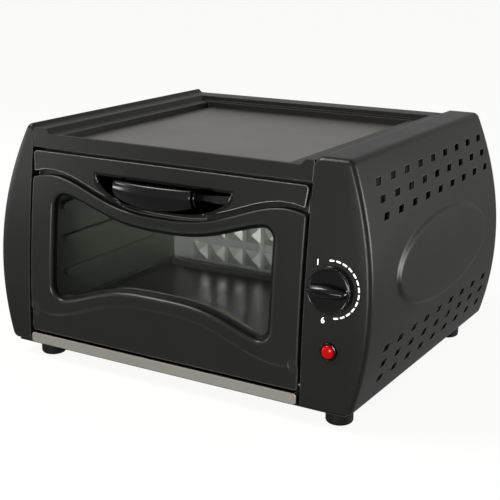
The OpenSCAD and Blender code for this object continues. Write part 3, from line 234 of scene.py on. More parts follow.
def fresh(name: str) -> tuple[Material, Sheet]:
    """A new material and the emptied sheet of its nodes."""
    material = bpy.data.materials.new(name)
    material.use_nodes = True
    return material, Sheet(material.node_tree)


class Effects:
    """Shader groups that several finishes share, each built once."""

    stretch: tuple[str, ...] = ("Across X", "Across Y", "Across Z")

    def __init__(self) -> None:
        """Builds the groups."""
        self.grain = self._grain()
        self.edge = self._edge_highlight_and_wear()
        self.brushed = self._brushed()
        self.dust = self._dust()

    @staticmethod
    def _group(
        name: str, inputs: dict[str, float], *outputs: str
    ) -> tuple[Sheet, Sequence, Sequence]:
        """An empty group with its sockets.

        Args:
            name: The group's name.
            inputs: Its inputs and their default values.
            *outputs: Its outputs.

        Returns:
            Its sheet, the sockets of its inputs and the sockets that its outputs take.
        """
        tree = bpy.data.node_groups.new(name, "ShaderNodeTree")
        kind = "NodeSocketFloat"
        for key, value in inputs.items():
            made = tree.interface.new_socket(key, in_out="INPUT", socket_type=kind)
            made.default_value = value
        for key in outputs:
            tree.interface.new_socket(key, in_out="OUTPUT", socket_type=kind)
        s = Sheet(tree)
        return s, s.add("NodeGroupInput").outputs, s.add("NodeGroupOutput").inputs

    def _grain(self) -> bpy.types.NodeTree:
        """Fine even texture of a coat of paint or a moulding."""
        inputs = {"Scale": 2500.0, "Cloud Scale": 18.0}
        s, given, out = self._group("fine_grain", inputs, "Height", "Cloud")
        place = s.add("ShaderNodeTexCoord").outputs["Object"]
        s.wire(s.noise(place, given["Scale"]), out["Height"])
        s.wire(s.noise(place, given["Cloud Scale"], 4.0), out["Cloud"])
        return s.tree

    def _edge_highlight_and_wear(self) -> bpy.types.NodeTree:
        """Painted highlight on rounded edges, mixed with patchy wear, from the angle a rounded
        normal makes.
        """
        s, given, out = self._group("edge_highlight_and_wear", {"Radius": 0.0006, "Gain": 4.0}, "Mask")
        soft = s.add("ShaderNodeBevel", {"Radius": given["Radius"]}, samples=4).outputs[0]
        plain = s.add("ShaderNodeNewGeometry").outputs["Normal"]
        dot = s.add("ShaderNodeVectorMath", {0: soft, 1: plain}, operation="DOT_PRODUCT")
        away = s.maths("SUBTRACT", 1.0, dot.outputs["Value"])
        noise = s.noise(s.add("ShaderNodeTexCoord").outputs["Object"], 160.0)
        patchy = s.maths("MULTIPLY", away, s.maths("ADD", noise, 0.35))
        s.wire(s.maths("MULTIPLY", patchy, given["Gain"], clamp=True), out["Mask"])
        return s.tree

    def _brushed(self) -> bpy.types.NodeTree:
        """Fine lines along one direction, as on brushed sheet."""
        inputs = dict(zip(self.stretch, (1.0, 40.0, 40.0)))
        s, given, out = self._group("brushed_lines", inputs, "Lines", "Cloud")
        place = s.add("ShaderNodeTexCoord").outputs["Object"]
        fed = {i: given[key] for i, key in enumerate(self.stretch)}
        times = {0: place, 1: s.add("ShaderNodeCombineXYZ", fed).outputs[0]}
        scaled = s.add("ShaderNodeVectorMath", times, operation="MULTIPLY").outputs[0]
        s.wire(s.noise(scaled, 60.0, 3.0), out["Lines"])
        s.wire(s.noise(place, 14.0), out["Cloud"])
        return s.tree

    def _dust(self) -> bpy.types.NodeTree:
        """Mask of thin dust on faces that look up."""
        s, given, out = self._group("settled_dust", {"Amount": 0.1}, "Mask")
        place = s.add("ShaderNodeTexCoord").outputs
        parts = s.add("ShaderNodeSeparateXYZ", {0: place["Normal"]}).outputs
        up = s.maths("MULTIPLY", parts[2], s.noise(place["Object"], 45.0, 5.0), clamp=True)
        s.wire(s.maths("MULTIPLY", up, given["Amount"], clamp=True), out["Mask"])
        return s.tree


EFFECTS = Effects()


# ---------------------------------------------------------------- finishes


class Lay(Enum):
    """Direction of the brushed lines, as their stretch along X, Y and Z."""

    NONE = (0.0, 0.0, 0.0)
    ACROSS = (1.0, 40.0, 40.0)
    DEEP = (40.0, 1.0, 40.0)


@dataclass(frozen=True)
class Finish:
    """One painted, moulded or metal finish."""

    colour: Colour
    second: Colour
    roughness: float = 0.4
    metallic: float = 0.0
    specular: float = 0.5
    grain_scale: float = 2500.0
    grain_depth: float = 0.1
    cloud_share: float = 0.3
    edge_highlight_and_wear_colour: Colour = (0.3, 0.3, 0.29)
    edge_highlight_and_wear_gain: float = 0.0
    edge_radius: float = 0.0006
    lay: Lay = Lay.NONE
    dust: float = 0.0
    dust_colour: Colour = (0.42, 0.42, 0.4)
    glow: float = 0.0
    roughness_swing: float = 0.25
    grain_height: float = 0.00005

    def make(self, name: str) -> Material:
        """Builds the material.

        Args:
            name: Its name.

        Returns:
            The material, ready for a piece's slot.
        """
        material, s = fresh(name)
        if self.lay is Lay.NONE:
            texture = s.group(EFFECTS.grain, {"Scale": self.grain_scale})
            height = texture["Height"]
        else:
            texture = s.group(EFFECTS.brushed, dict(zip(EFFECTS.stretch, self.lay.value)))
            height = texture["Lines"]
        cloud = texture["Cloud"]
        mixed = s.maths("ADD", s.maths("MULTIPLY", height, 0.5), s.maths("MULTIPLY", cloud, 0.5))
        share = s.maths("MULTIPLY", mixed, self.cloud_share, clamp=True)
        colour = s.blend(share, self.colour, self.second)
        # Painted highlight along rounded edges, mixed with patchy edge wear.
        if self.edge_highlight_and_wear_gain > 0:
            edge = s.group(EFFECTS.edge, {"Radius": self.edge_radius, "Gain": self.edge_highlight_and_wear_gain})
            colour = s.blend(edge["Mask"], colour, self.edge_highlight_and_wear_colour)
        if self.dust > 0:
            dust = s.group(EFFECTS.dust, {"Amount": self.dust})
            colour = s.blend(dust["Mask"], colour, self.dust_colour)
        swing = s.maths("MULTIPLY", s.maths("SUBTRACT", mixed, 0.5), self.roughness_swing)
        bump = {"Strength": self.grain_depth, "Distance": self.grain_height, "Height": height}
        skin = {
            "Base Color": colour,
            "Metallic": self.metallic,
            "Specular IOR Level": self.specular,
            "Roughness": s.maths("ADD", swing, self.roughness, clamp=True),
            "Normal": s.add("ShaderNodeBump", bump).outputs[0],
        }
        if self.glow > 0:
            skin |= {"Emission Color": colour, "Emission Strength": self.glow}
        shader = s.add("ShaderNodeBsdfPrincipled", skin).outputs[0]
        s.add("ShaderNodeOutputMaterial", {0: shader})
        return material


@dataclass(frozen=True)
class PaneFinish:
    """Clear window glass with faint smears."""

    tint: Colour = (0.97, 0.985, 0.98)
    smear: Colour = (0.85, 0.88, 0.87)
    smear_share: float = 0.15
    smear_scale: float = 30.0
    ior: float = 1.12
    roughness: float = 0.004

    def make(self, name: str) -> Material:
        """Builds the material.

        Args:
            name: Its name.

        Returns:
            Glass that lets the lamps light what is behind it.
        """
        material, s = fresh(name)
        cloud = s.group(EFFECTS.grain, {"Cloud Scale": self.smear_scale})["Cloud"]
        share = s.maths("MULTIPLY", cloud, self.smear_share)
        pane = s.add("ShaderNodeBsdfPrincipled", {
            "Base Color": s.blend(share, self.tint, self.smear),
            "Roughness": s.maths("MULTIPLY", cloud, self.roughness),
            "IOR": self.ior,
            "Transmission Weight": 1.0,
        })
        clear = s.add("ShaderNodeBsdfTransparent", {0: self.tint})
        shadow = s.add("ShaderNodeLightPath").outputs["Is Shadow Ray"]
        shader = s.mix(shadow, pane.outputs[0], clear.outputs[0])
        s.add("ShaderNodeOutputMaterial", {0: shader})
        return material


# The edge colours and gains below paint light lines along rounded edges: painted highlights, with
# some wear.
FINISHES: dict[str, Finish | PaneFinish] = {
    "black_sheet": Finish(srgb(26, 26, 24), srgb(36, 36, 34), 0.45, specular=0.25, dust=0.03),
    "black_paint": Finish(
        srgb(18, 19, 16), srgb(25, 26, 23), 0.34, specular=0.24, grain_depth=0.12,
        edge_highlight_and_wear_colour=srgb(120, 120, 116), edge_highlight_and_wear_gain=1.6, edge_radius=0.0008,
    ),
    "foot_rubber": Finish(srgb(8, 8, 8), srgb(15, 15, 14), 0.6, specular=0.2),
    "zinc_steel": Finish(srgb(170, 170, 166), srgb(140, 140, 138), 0.35, 1.0),
    "liner_metal": Finish(
        srgb(92, 94, 84), srgb(112, 114, 102), 0.34, 0.35,
        edge_highlight_and_wear_colour=srgb(170, 170, 160), edge_highlight_and_wear_gain=2.0, edge_radius=0.0008,
    ),
    "back_wall_metal": Finish(srgb(176, 176, 170), srgb(140, 140, 136), 0.36, 0.7),
    "plate_steel": Finish(
        srgb(160, 158, 151), srgb(122, 119, 112), 0.33, 1.0, lay=Lay.ACROSS, cloud_share=0.9,
    ),
    "heater_steel": Finish(srgb(96, 90, 84), srgb(120, 104, 90), 0.45, 0.9),
    "white_ceramic": Finish(srgb(232, 228, 216), srgb(215, 210, 198), 0.6),
    "tray_enamel": Finish(
        srgb(52, 52, 50), srgb(72, 72, 68), 0.3,
        edge_highlight_and_wear_colour=srgb(150, 150, 144), edge_highlight_and_wear_gain=2.0, edge_radius=0.0007,
    ),
    "gloss_black": Finish(srgb(2, 2, 2), srgb(5, 5, 5), 0.17, specular=0.4, grain_depth=0.01),
    "red_lens": Finish(
        srgb(150, 0, 4), srgb(120, 0, 3), 0.2, specular=0.15, grain_depth=0.01, glow=0.1,
    ),
    "white_plastic": Finish(srgb(230, 228, 220), srgb(214, 212, 202), 0.5),
    "black_plastic": Finish(srgb(20, 20, 20), srgb(30, 30, 30), 0.5),
    "wire_rubber": Finish(srgb(96, 94, 88), srgb(80, 78, 72), 0.6),
    "black_screw": Finish(srgb(34, 34, 33), srgb(60, 60, 58), 0.3, 0.8),
    "black_moulding": Finish(
        srgb(21, 22, 19), srgb(27, 28, 25), 0.3, specular=0.24, grain_depth=0.08,
        edge_highlight_and_wear_colour=srgb(205, 205, 200), edge_highlight_and_wear_gain=7.0, edge_radius=0.0008,
    ),
    "recess_black": Finish(srgb(5, 5, 5), srgb(11, 11, 10), 0.55, specular=0.12),
    "door_glass": PaneFinish(),
    "tray_metal": Finish(srgb(170, 168, 160), srgb(140, 138, 130), 0.4, 1.0, lay=Lay.DEEP),
    "strip_steel": Finish(srgb(184, 181, 171), srgb(160, 158, 148), 0.34, 0.85, lay=Lay.ACROSS),
    # The print's glow is painted light that keeps it bright white.
    "panel_print": Finish(srgb(250, 250, 248), srgb(238, 238, 236), 0.5, glow=0.25),
}


class Paintbox:
    """Makes each finish once and dresses pieces with it."""

    def __init__(self) -> None:
        """Starts empty."""
        self.made: dict[str, Material] = {}

    def material(self, slot: str) -> Material:
        """The material of a slot, built at its first use."""
        if slot not in self.made:
            self.made[slot] = FINISHES[slot].make(slot)
        return self.made[slot]

    def dress(self, piece: Object, slot: str) -> None:
        """Gives a piece one material all over."""
        piece.data.materials.clear()
        piece.data.materials.append(self.material(slot))


PAINT = Paintbox()
NODE_SLOTS = {row["node"]: row["material_slot"] for row in frame["record"]["subparts"]}
NODE_BODIES = {
    name: body for body, names in frame["record"]["behaviour"]["bodies"].items() for name in names
}


# ---------------------------------------------------------------- bench work


def deselect() -> None:
    """Leaves edit mode and deselects every object."""
    if bpy.context.object and bpy.context.object.mode != "OBJECT":
        bpy.ops.object.mode_set(mode="OBJECT")
    for item in bpy.context.view_layer.objects:
        item.select_set(False)


def pick(piece: Object) -> None:
    """Selects one piece alone and makes it active."""
    deselect()
    piece.hide_set(False)
    piece.select_set(True)
    bpy.context.view_layer.objects.active = piece


@contextmanager
def editing(piece: Object) -> Iterator[None]:
    """Edit mode on one piece, with all of it selected, while the block lasts."""
    pick(piece)
    bpy.ops.object.mode_set(mode="EDIT")
    bpy.ops.mesh.select_all(action="SELECT")
    yield
    bpy.ops.object.mode_set(mode="OBJECT")


def tidy_mesh(piece: Object, recalc: bool = True, merge: float = 0.00001) -> None:
    """Merges doubled points and, for a closed piece, turns its faces outwards.

    Args:
        piece: The piece.
        recalc: Whether normals are recalculated.
        merge: Distance under which points are one, in metres.
    """
    with editing(piece):
        bpy.ops.mesh.remove_doubles(threshold=merge)
        bpy.ops.mesh.dissolve_degenerate(threshold=merge)
        if recalc:
            bpy.ops.mesh.normals_make_consistent(inside=False)


def shade(piece: Object, angle: float = 32.0) -> None:
    """Smooth shading with hard edges above an angle in degrees."""
    pick(piece)
    bpy.ops.object.shade_smooth_by_angle(angle=math.radians(angle))


def modify(piece: Object, kind: str, **settings: object) -> None:
    """Adds a modifier, sets it and applies it.

    Args:
        piece: The piece.
        kind: The modifier's type.
        **settings: Its properties.
    """
    pick(piece)
    modifier = piece.modifiers.new(kind.lower(), kind)
    for name, value in settings.items():
        setattr(modifier, name, value)
    bpy.ops.object.modifier_apply(modifier=modifier.name)


def grid_of(name: str, rows: Sequence[Sequence[Vector]]) -> Object:
    """A grid primitive laid over rows of points.

    Args:
        name: The piece's name.
        rows: Equal rows of points, in the frame's metres.

    Returns:
        The new piece.
    """
    deselect()
    bpy.ops.mesh.primitive_grid_add(
        x_subdivisions=len(rows[0]) - 1, y_subdivisions=len(rows) - 1, size=1.0
    )
    piece = bpy.context.object
    piece.name = piece.data.name = name
    flat = [c for row in rows for point in row for c in point]
    piece.data.vertices.foreach_set("co", flat)
    piece.data.update()
    return piece


def loft(name: str, loops: Sequence[Sequence[Vector]], ring: bool = False) -> Object:
    """A closed surface through loops of points.

    Args:
        name: The piece's name.
        loops: Loops with the same number of points.
        ring: Whether the last loop joins the first, instead of both being closed with a face.

    Returns:
        The new piece, merged and turned outwards.
    """
    rows = [[*loop, loop[0]] for loop in loops]
    if ring:
        rows.append(rows[0])
    piece = grid_of(name, rows)
    tidy_mesh(piece, recalc=False)
    if not ring:
        with editing(piece):
            bpy.ops.mesh.fill_holes(sides=0)
    tidy_mesh(piece)
    return piece


def join(name: str, pieces: Sequence[Object]) -> Object:
    """Several meshes as one.

    Args:
        name: The joined piece's name.
        pieces: What is joined.

    Returns:
        The joined piece.
    """
    deselect()
    for piece in pieces:
        piece.select_set(True)
    bpy.context.view_layer.objects.active = pieces[0]
    bpy.ops.object.join()
    pieces[0].name = pieces[0].data.name = name
    return pieces[0]


def mount(piece: Object, slot: str, body: str, *nodes: str) -> Object:
    """Dresses a finished piece, hangs it on its body and lets it stand for CAD nodes.

    Args:
        piece: The finished piece.
        slot: Its material slot.
        body: The body it rides on.
        *nodes: The CAD nodes it stands for.

    Returns:
        The piece.
    """
    PAINT.dress(piece, slot)
    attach(piece, body)
    if nodes:
        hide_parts(*nodes)
    LOG.info("piece %s: %d faces on %s", piece.name, len(piece.data.polygons), body)
    return piece


# ---------------------------------------------------------------- pieces from CAD


@dataclass
class EasedParts:
    """Pieces that keep their CAD shape and get merged faces and eased edges."""

    segments: int = 2
    merge_angle: float = 0.6
    bevel_angle: float = 34.0
    shade_angle: float = 32.0
    face_weight: int = 90
    facets: dict[str, float] = field(
        default_factory=lambda: {
            "cavity_rear_wall": 12.0, "cavity_left_wall": 20.0, "cavity_right_wall": 20.0,
        }
    )
    widths: dict[float, str] = field(
        default_factory=lambda: {
            0.12: "top_frame_screws",
            0.15: "heat_shield foot_screws door_screws rear_panel_screws",
            0.2: "heater_rests left_hinge_bracket right_hinge_bracket left_hinge_pin"
            " right_hinge_pin thermostat_shaft",
            0.25: "crumb_tray cavity_rear_wall door_backing rear_panel base_pan front_frame"
            " heater_bushes",
            0.3: "baking_tray cavity_left_wall cavity_right_wall door_glass left_hinge_lug"
            " right_hinge_lug door_magnets",
            0.4: "tray_front_strip pilot_lamp_holder thermostat",
            0.5: "hot_plate terminal_block cord_gland",
            0.6: "top_frame",
            0.8: "door_fascia",
            1.2: "front_left_foot front_right_foot rear_left_foot rear_right_foot",
        }
    )

    def ease(self, node: str, width: float) -> Object:
        """One CAD node's merged copy with eased edges.

        Args:
            node: The CAD node.
            width: Width of its eased edges.

        Returns:
            The piece that stands for it.
        """
        source = frame["nodes"][node]
        piece = bpy.data.objects.new(f"eased_{node}", source.data.copy())
        bpy.context.scene.collection.objects.link(piece)
        pick(piece)
        bpy.ops.mesh.customdata_custom_splitnormals_clear()
        tidy_mesh(piece, recalc=False)
        with editing(piece):
            bpy.ops.mesh.dissolve_limited(angle_limit=math.radians(self.merge_angle))
        modify(
            piece, "BEVEL", width=width * MM, segments=self.segments, limit_method="ANGLE",
            angle_limit=math.radians(self.bevel_angle), use_clamp_overlap=False,
        )
        shade(piece, self.facets.get(node, self.shade_angle))
        modify(piece, "WEIGHTED_NORMAL", keep_sharp=True, weight=self.face_weight)
        return mount(piece, NODE_SLOTS[node], NODE_BODIES[node], node)

    def build(self) -> None:
        """Eases the listed nodes, in the order of their names."""
        listed = {node: width for width, names in self.widths.items() for node in names.split()}
        for node in sorted(listed):
            self.ease(node, listed[node])


def dress_plain() -> None:
    """Gives every CAD node that still shows its finish."""
    for node, item in frame["nodes"].items():
        if not item.hide_render:
            PAINT.dress(item, NODE_SLOTS[node])
            LOG.info("node %s dressed as %s", node, NODE_SLOTS[node])


# ---------------------------------------------------------------- side covers


class Side(Enum):
    """Which side of the mouth a cover stands on."""

    LEFT = -1
    RIGHT = 1


@dataclass
class SideCover:
    """Bulging cover: rounded front edge, soft raised oval and three rows of slanted vents twice."""

    side: Side
    width: float
    mouth: float = 150.0
    depth: float = 308.0
    top: float = 212.0
    belly_z: float = 88.0
    belly_r: float = 279.564
    edge_r: float = 7.0
    front_r: float = 4.5
    sheet: float = 1.6
    step_w: float = 4.0
    step_h: float = 3.2
    return_y: float = 34.0
    oval: Four = (165.0, 105.5, 108.0, 40.0)
    oval_rise: float = 2.2
    oval_slope: float = 5.0
    oval_start: float = 0.25
    vent_size: Point = (10.8, 6.0)
    vent_slant: float = 4.0
    vent_first: float = 52.0
    vent_pitch: Point = (29.7, 14.0)
    vent_bands: tuple[Point, Point] = ((22.0, -7.0), (162.0, 0.0))
    vent_count: tuple[int, int] = (9, 3)
    vent_cut: Point = (-25.0, 3.0)
    along: int = 200
    round_steps: int = 8
    belly_steps: int = 116
    flat_steps: int = 6

    def belly(self, z: float, inset: float = 0.0) -> float:
        """Reach of the belly beyond the mouth at height z."""
        return self.width - inset - (z - self.belly_z) ** 2 / (2 * self.belly_r)

    def section(self, inset: float) -> tuple[list[Point], slice]:
        """Outline of the cover seen from the front.

        Args:
            inset: How far it is drawn in, except along the mouth.

        Returns:
            Its points from the lower mouth edge round the belly to the upper one, and
            the slice of them that climbs from the bottom to the top.
        """
        r = max(self.edge_r - inset, 0.4)
        top, low = self.top - inset, inset
        top_a = math.atan((top - r - self.belly_z) / self.belly_r)
        low_a = math.atan((self.belly_z - low - r) / self.belly_r)
        top_z = top - r + r * math.sin(top_a)
        low_z = low + r - r * math.sin(low_a)
        low_c = self.belly(low_z, inset) - r * math.cos(low_a)
        top_c = self.belly(top_z, inset) - r * math.cos(top_a)
        steps = self.round_steps
        points = [(u, low) for u in spread(0, low_c, self.flat_steps)][:-1]
        points += arc(low_c, low + r, r, -90, -math.degrees(low_a), steps)[:-1]
        points += [(self.belly(z, inset), z) for z in spread(low_z, top_z, self.belly_steps)]
        points += arc(top_c, top - r, r, math.degrees(top_a), 90, steps)[1:]
        first, last = self.flat_steps, len(points) - 1
        points += [(u, top) for u in spread(top_c, self.step_w, self.flat_steps)[1:]]
        foot = top - self.step_h
        for _, z in reversed(points[last - steps : last]):
            z = max(z, foot)
            points.append(((z - foot) * self.step_w / self.step_h, z))
        points.append((0.0, foot))
        return points, slice(first, last + 1)

    def point(self, u: float, y: float, z: float) -> Vector:
        """The frame's point at u beyond the mouth's edge."""
        return at(self.side.value * (self.mouth + u), y, z)

    def oval_height(self, y: float, z: float) -> float:
        """Height of the raised oval at a place on the side."""
        cy, cz, ry, rz = self.oval
        dy, dz = (y - cy) / ry, (z - cz) / rz
        rho = math.hypot(dy, dz)
        if rho < 0.05:
            return self.oval_rise
        slope = math.hypot(dy / ry, dz / rz) / rho
        return self.oval_rise * smooth((1 - rho) / slope / self.oval_slope + self.oval_start)

    def side_rows(self) -> list[list[Vector]]:
        """Rows of the side sheet, from the back edge to the rounded front edge."""
        outline, _ = self.section(0.0)
        rows = []
        for t in spread(0, 1, self.along)[:-1]:
            row = []
            for u, z in outline:
                front = FRONT.y(z) + self.front_r
                y = lerp(self.depth, front, t)
                if u > self.width / 2:
                    u += self.oval_height(y, z)
                row.append(self.point(u, y, z))
            rows.append(row)
        for a in spread(0, math.pi / 2, self.round_steps):
            ring, _ = self.section(self.front_r * (1 - math.cos(a)))
            back = self.front_r * (1 - math.sin(a))
            rows.append([self.point(u, FRONT.y(z) + back, z) for u, z in ring])
        return rows

    def front_rows(self) -> list[list[Vector]]:
        """Rows of the front face, from the bottom up, each from the mouth outwards."""
        ring, climb = self.section(self.front_r)
        foot = self.top - self.front_r - self.step_h
        edge = ring[climb]
        nearest = min(
            range(len(edge)), key=lambda i: abs(edge[i][1] - foot) + (edge[i][1] > foot)
        )
        rows = []
        for i, (u1, z1) in enumerate(edge):
            u0, z0 = max(z1 - foot, 0.0) * self.step_w / self.step_h, z1
            if i == nearest:
                u0, z0 = 0.0, foot
            row = []
            for t in spread(0, 1, self.flat_steps):
                z = lerp(z0, z1, t)
                row.append(self.point(lerp(u0, u1, t), FRONT.y(z), z))
            rows.append(row)
        return rows

    def return_rows(self) -> list[list[Vector]]:
        """Rows of the wall beside the door, from the bottom up, each from the front back."""
        rows = []
        for row in self.front_rows():
            start = row[0]
            if abs(start.x - self.point(0, 0, 0).x) > 1e-7:
                continue
            back = self.point(0, self.return_y, 0).y
            rows.append([
                Vector((start.x, lerp(start.y, back, t), start.z))
                for t in spread(0, 1, self.flat_steps)
            ])
        return rows

    def vents(self) -> Object:
        """All vents as one set of slanted prisms to cut with."""
        half_w, half_h = self.vent_size[0] / 2, self.vent_size[1] / 2
        lean = self.vent_slant / 2
        cutters = []
        for low, shift in self.vent_bands:
            for row in range(self.vent_count[1]):
                for column in range(self.vent_count[0]):
                    y = self.vent_first + shift + column * self.vent_pitch[0]
                    z = low + row * self.vent_pitch[1]
                    corners = [
                        (y - half_w - lean, z - half_h), (y + half_w - lean, z - half_h),
                        (y + half_w + lean, z + half_h), (y - half_w + lean, z + half_h),
                    ]
                    loops = [
                        [self.point(u, cy, cz) for cy, cz in corners]
                        for u in (self.width + reach for reach in self.vent_cut)
                    ]
                    cutters.append(loft("vent_cutter", loops))
        return join("vent_cutters", cutters)

    def build(self) -> Object:
        """Builds the cover.

        Returns:
            The piece that stands for the cover's node.
        """
        name = f"{self.side.name.lower()}_side_cover"
        parts = [
            grid_of("cover_side", self.side_rows()),
            grid_of("cover_front", self.front_rows()),
            grid_of("cover_return", self.return_rows()),
        ]
        piece = join(f"shell_{name}", parts)
        tidy_mesh(piece, merge=0.00002)
        outer = max(piece.data.polygons, key=lambda p: p.center.x * self.side.value)
        if outer.normal.x * self.side.value < 0:
            with editing(piece):
                bpy.ops.mesh.flip_normals()
        modify(piece, "SOLIDIFY", thickness=self.sheet * MM, offset=-1.0)
        cutters = self.vents()
        modify(piece, "BOOLEAN", object=cutters, operation="DIFFERENCE", solver="EXACT")
        bpy.data.objects.remove(cutters)
        shade(piece, 40)
        return mount(piece, "black_paint", "body", name)


# ---------------------------------------------------------------- door


@dataclass
class DoorShape:
    """Outlines that the door's mouldings share."""

    left: float = -148.0
    right: float = 146.2
    bottom: float = 12.0
    corner_r: float = 3.5
    depth: float = 7.6
    door_edge: Four = (141.6, 166.4, 126.0, 1.4)
    sill_edge: Four = (56.8, 32.0, 126.0, 1.4)
    window_top: Four = (128.0, 148.6, 117.5, 1.4)
    window_low: Four = (73.8, 53.3, 117.5, 1.6)
    window_half: float = 117.5
    window_r: float = 9.0
    wave_end: float = 80.0
    flat_end: float = 89.0
    long_steps: int = 84
    corner_steps: int = 10
    side_steps: int = 26

    def door_wave(self, x: float) -> float:
        """Height of the window panel's upper edge."""
        return wave(x, *self.door_edge)

    def sill_wave(self, x: float) -> float:
        """Height of the low step under the window."""
        return wave(x, *self.sill_edge)

    def banner(
        self, x0: float, x1: float, r: float, edges: tuple[Callable, Callable], ends: Point
    ) -> list[Point]:
        """Loop with a waved top and bottom and round corners.

        Args:
            x0: Left side.
            x1: Right side.
            r: Corner radius.
            edges: Height of the upper and of the lower edge at x.
            ends: Angles at which the upper and lower corners leave the waves.

        Returns:
            The loop's points, clockwise from the upper left.
        """
        top, low = edges
        top_c, low_c = top(x1 - r) - r, low(x1 - r) + r
        left_top, left_low = top(x0 + r) - r, low(x0 + r) + r
        loop = [(x, top(x)) for x in spread(x0 + r, x1 - r, self.long_steps)]
        loop += arc(x1 - r, top_c, r, ends[0], 0, self.corner_steps)
        loop += [(x1, z) for z in spread(top_c, low_c, self.side_steps)[1:-1]]
        loop += arc(x1 - r, low_c, r, 0, -ends[1], self.corner_steps)
        loop += [(x, low(x)) for x in spread(x1 - r, x0 + r, self.long_steps)]
        loop += arc(x0 + r, left_low, r, -180 + ends[1], -180, self.corner_steps)
        loop += [(x0, z) for z in spread(left_low, left_top, self.side_steps)[1:-1]]
        loop += arc(x0 + r, left_top, r, 180, 180 - ends[0], self.corner_steps)
        return loop

    def panel(self, inset: float) -> list[Point]:
        """Outline of the window panel, drawn in."""
        edges = (lambda x: self.door_wave(x) - inset, lambda x: self.bottom + inset)
        return self.banner(
            self.left + inset, self.right - inset, max(self.corner_r - inset, 0.5), edges,
            (self.wave_end, self.flat_end),
        )

    def window(self, left: float, right: float, up: float, low: float) -> list[Point]:
        """Outline of the window.

        Args:
            left: Growth to the left.
            right: Growth to the right.
            up: Growth upwards.
            low: Growth downwards.

        Returns:
            The loop, which has as many points as the panel's.
        """
        edges = (
            lambda x: wave(x, *self.window_top) + up, lambda x: wave(x, *self.window_low) - low,
        )
        return self.banner(
            -self.window_half - left, self.window_half + right,
            self.window_r + max(up + low, 0) / 2, edges, (self.wave_end, self.wave_end),
        )


@dataclass
class WindowPanel:
    """Moulded panel round the window: beaded lip, hollow slope to the glass, low sill step."""

    shape: DoorShape = field(default_factory=DoorShape)
    edge_r: float = 1.2
    lip: Four = (4.9, 0.5, 2.6, 4.6)
    rim: Four = (4.3, -3.4, -0.6, 2.4)
    bead_r: float = 3.4
    slope: tuple[Point, ...] = ((0.3, 6.0), (1.0, 6.6), (1.0, 7.5))
    rim_t: float = 0.25
    edge_back: float = 3.0
    sill_deep: float = 1.8
    sill_soft: float = 2.6
    bands: int = 40

    def off(self, x: float, z: float) -> float:
        """Depth of the panel's face behind the front at a place."""
        return self.sill_deep * smooth((self.shape.sill_wave(x) - z) / self.sill_soft + 0.5)

    def lay(self, loop: Sequence[Point], deep: float, sunk: bool = True) -> list[Vector]:
        """Puts a loop on the front face.

        Args:
            loop: Points across and up.
            deep: Depth behind the face.
            sunk: Whether the sill step is added.

        Returns:
            The points in the frame.
        """
        return [at(x, FRONT.y(z) + deep + (self.off(x, z) if sunk else 0.0), z) for x, z in loop]

    def build(self) -> Object:
        """Builds the panel.

        Returns:
            The piece that stands for the panel's node.
        """
        shape = self.shape
        side = shape.panel(0)
        loops = [self.lay(side, shape.depth, False), self.lay(side, self.edge_back)]
        for a in spread(0, math.pi / 2, 4):
            inset = self.edge_r * (1 - math.cos(a))
            loops.append(self.lay(shape.panel(inset), self.edge_r * (1 - math.sin(a))))
        outer = shape.panel(self.edge_r)
        inner = shape.window(*(g + self.bead_r for g in self.lip))
        for t in spread(0, 1, self.bands)[1:]:
            band = [(lerp(a[0], b[0], t), lerp(a[1], b[1], t)) for a, b in zip(outer, inner)]
            loops.append(self.lay(band, 0.0))
        for a in spread(0, math.pi / 2, 8)[1:]:
            grow = self.bead_r * (1 - math.sin(a))
            edge = shape.window(*(g + grow for g in self.lip))
            loops.append(self.lay(edge, self.bead_r * (1 - math.cos(a)), False))
        walls = [self.lay(self.between(share, 0.0), deep, False) for share, deep in self.slope]
        piece = loft("moulded_window_panel", [*loops, *walls], ring=True)
        shade(piece, 40)
        # Near-black lining laid over the slope to the glass, which darkens the window's recess.
        lining = [self.lay(self.between(0.0, self.rim_t), self.bead_r, False)]
        lining += [
            self.lay(self.between(share, self.rim_t), deep - self.rim_t, False)
            for share, deep in self.slope
        ]
        rim = loft("window_rim", [loops[-1], *lining, walls[-1]], ring=True)
        shade(rim, 40)
        mount(rim, "recess_black", "door")
        return mount(piece, "black_moulding", "door", "door_window_panel")

    def between(self, share: float, inset: float) -> list[Point]:
        """Outline part of the way from the lip to the glass, drawn in."""
        return self.shape.window(*(lerp(a, b, share) - inset for a, b in zip(self.lip, self.rim)))


@dataclass
class InnerPlate:
    """Flat steel cover of the door's inner side with its wide window."""

    shape: DoorShape = field(default_factory=DoorShape)
    sides: Point = (-146.7, 144.9)
    levels: Point = (13.0, 186.8)
    corner_r: float = 3.0
    front: float = 14.65
    back: float = 16.0
    opening: Four = (12.0, 0.5, 2.5, 4.0)

    def build(self) -> Object:
        """Builds the plate.

        Returns:
            The piece that stands for the plate's node.
        """
        low, top = self.levels
        edges, ends = (lambda x: top, lambda x: low), (self.shape.flat_end,) * 2
        outer = self.shape.banner(*self.sides, self.corner_r, edges, ends)
        inner = self.shape.window(*self.opening)
        front, back = self.front, self.back
        corners = ((outer, front), (inner, front), (inner, back), (outer, back))
        loops = [[at(x, FRONT.y(z) + deep, z) for x, z in loop] for loop, deep in corners]
        piece = loft("door_cover_plate", loops, ring=True)
        shade(piece, 40)
        return mount(piece, "liner_metal", "door", "door_inner_plate")


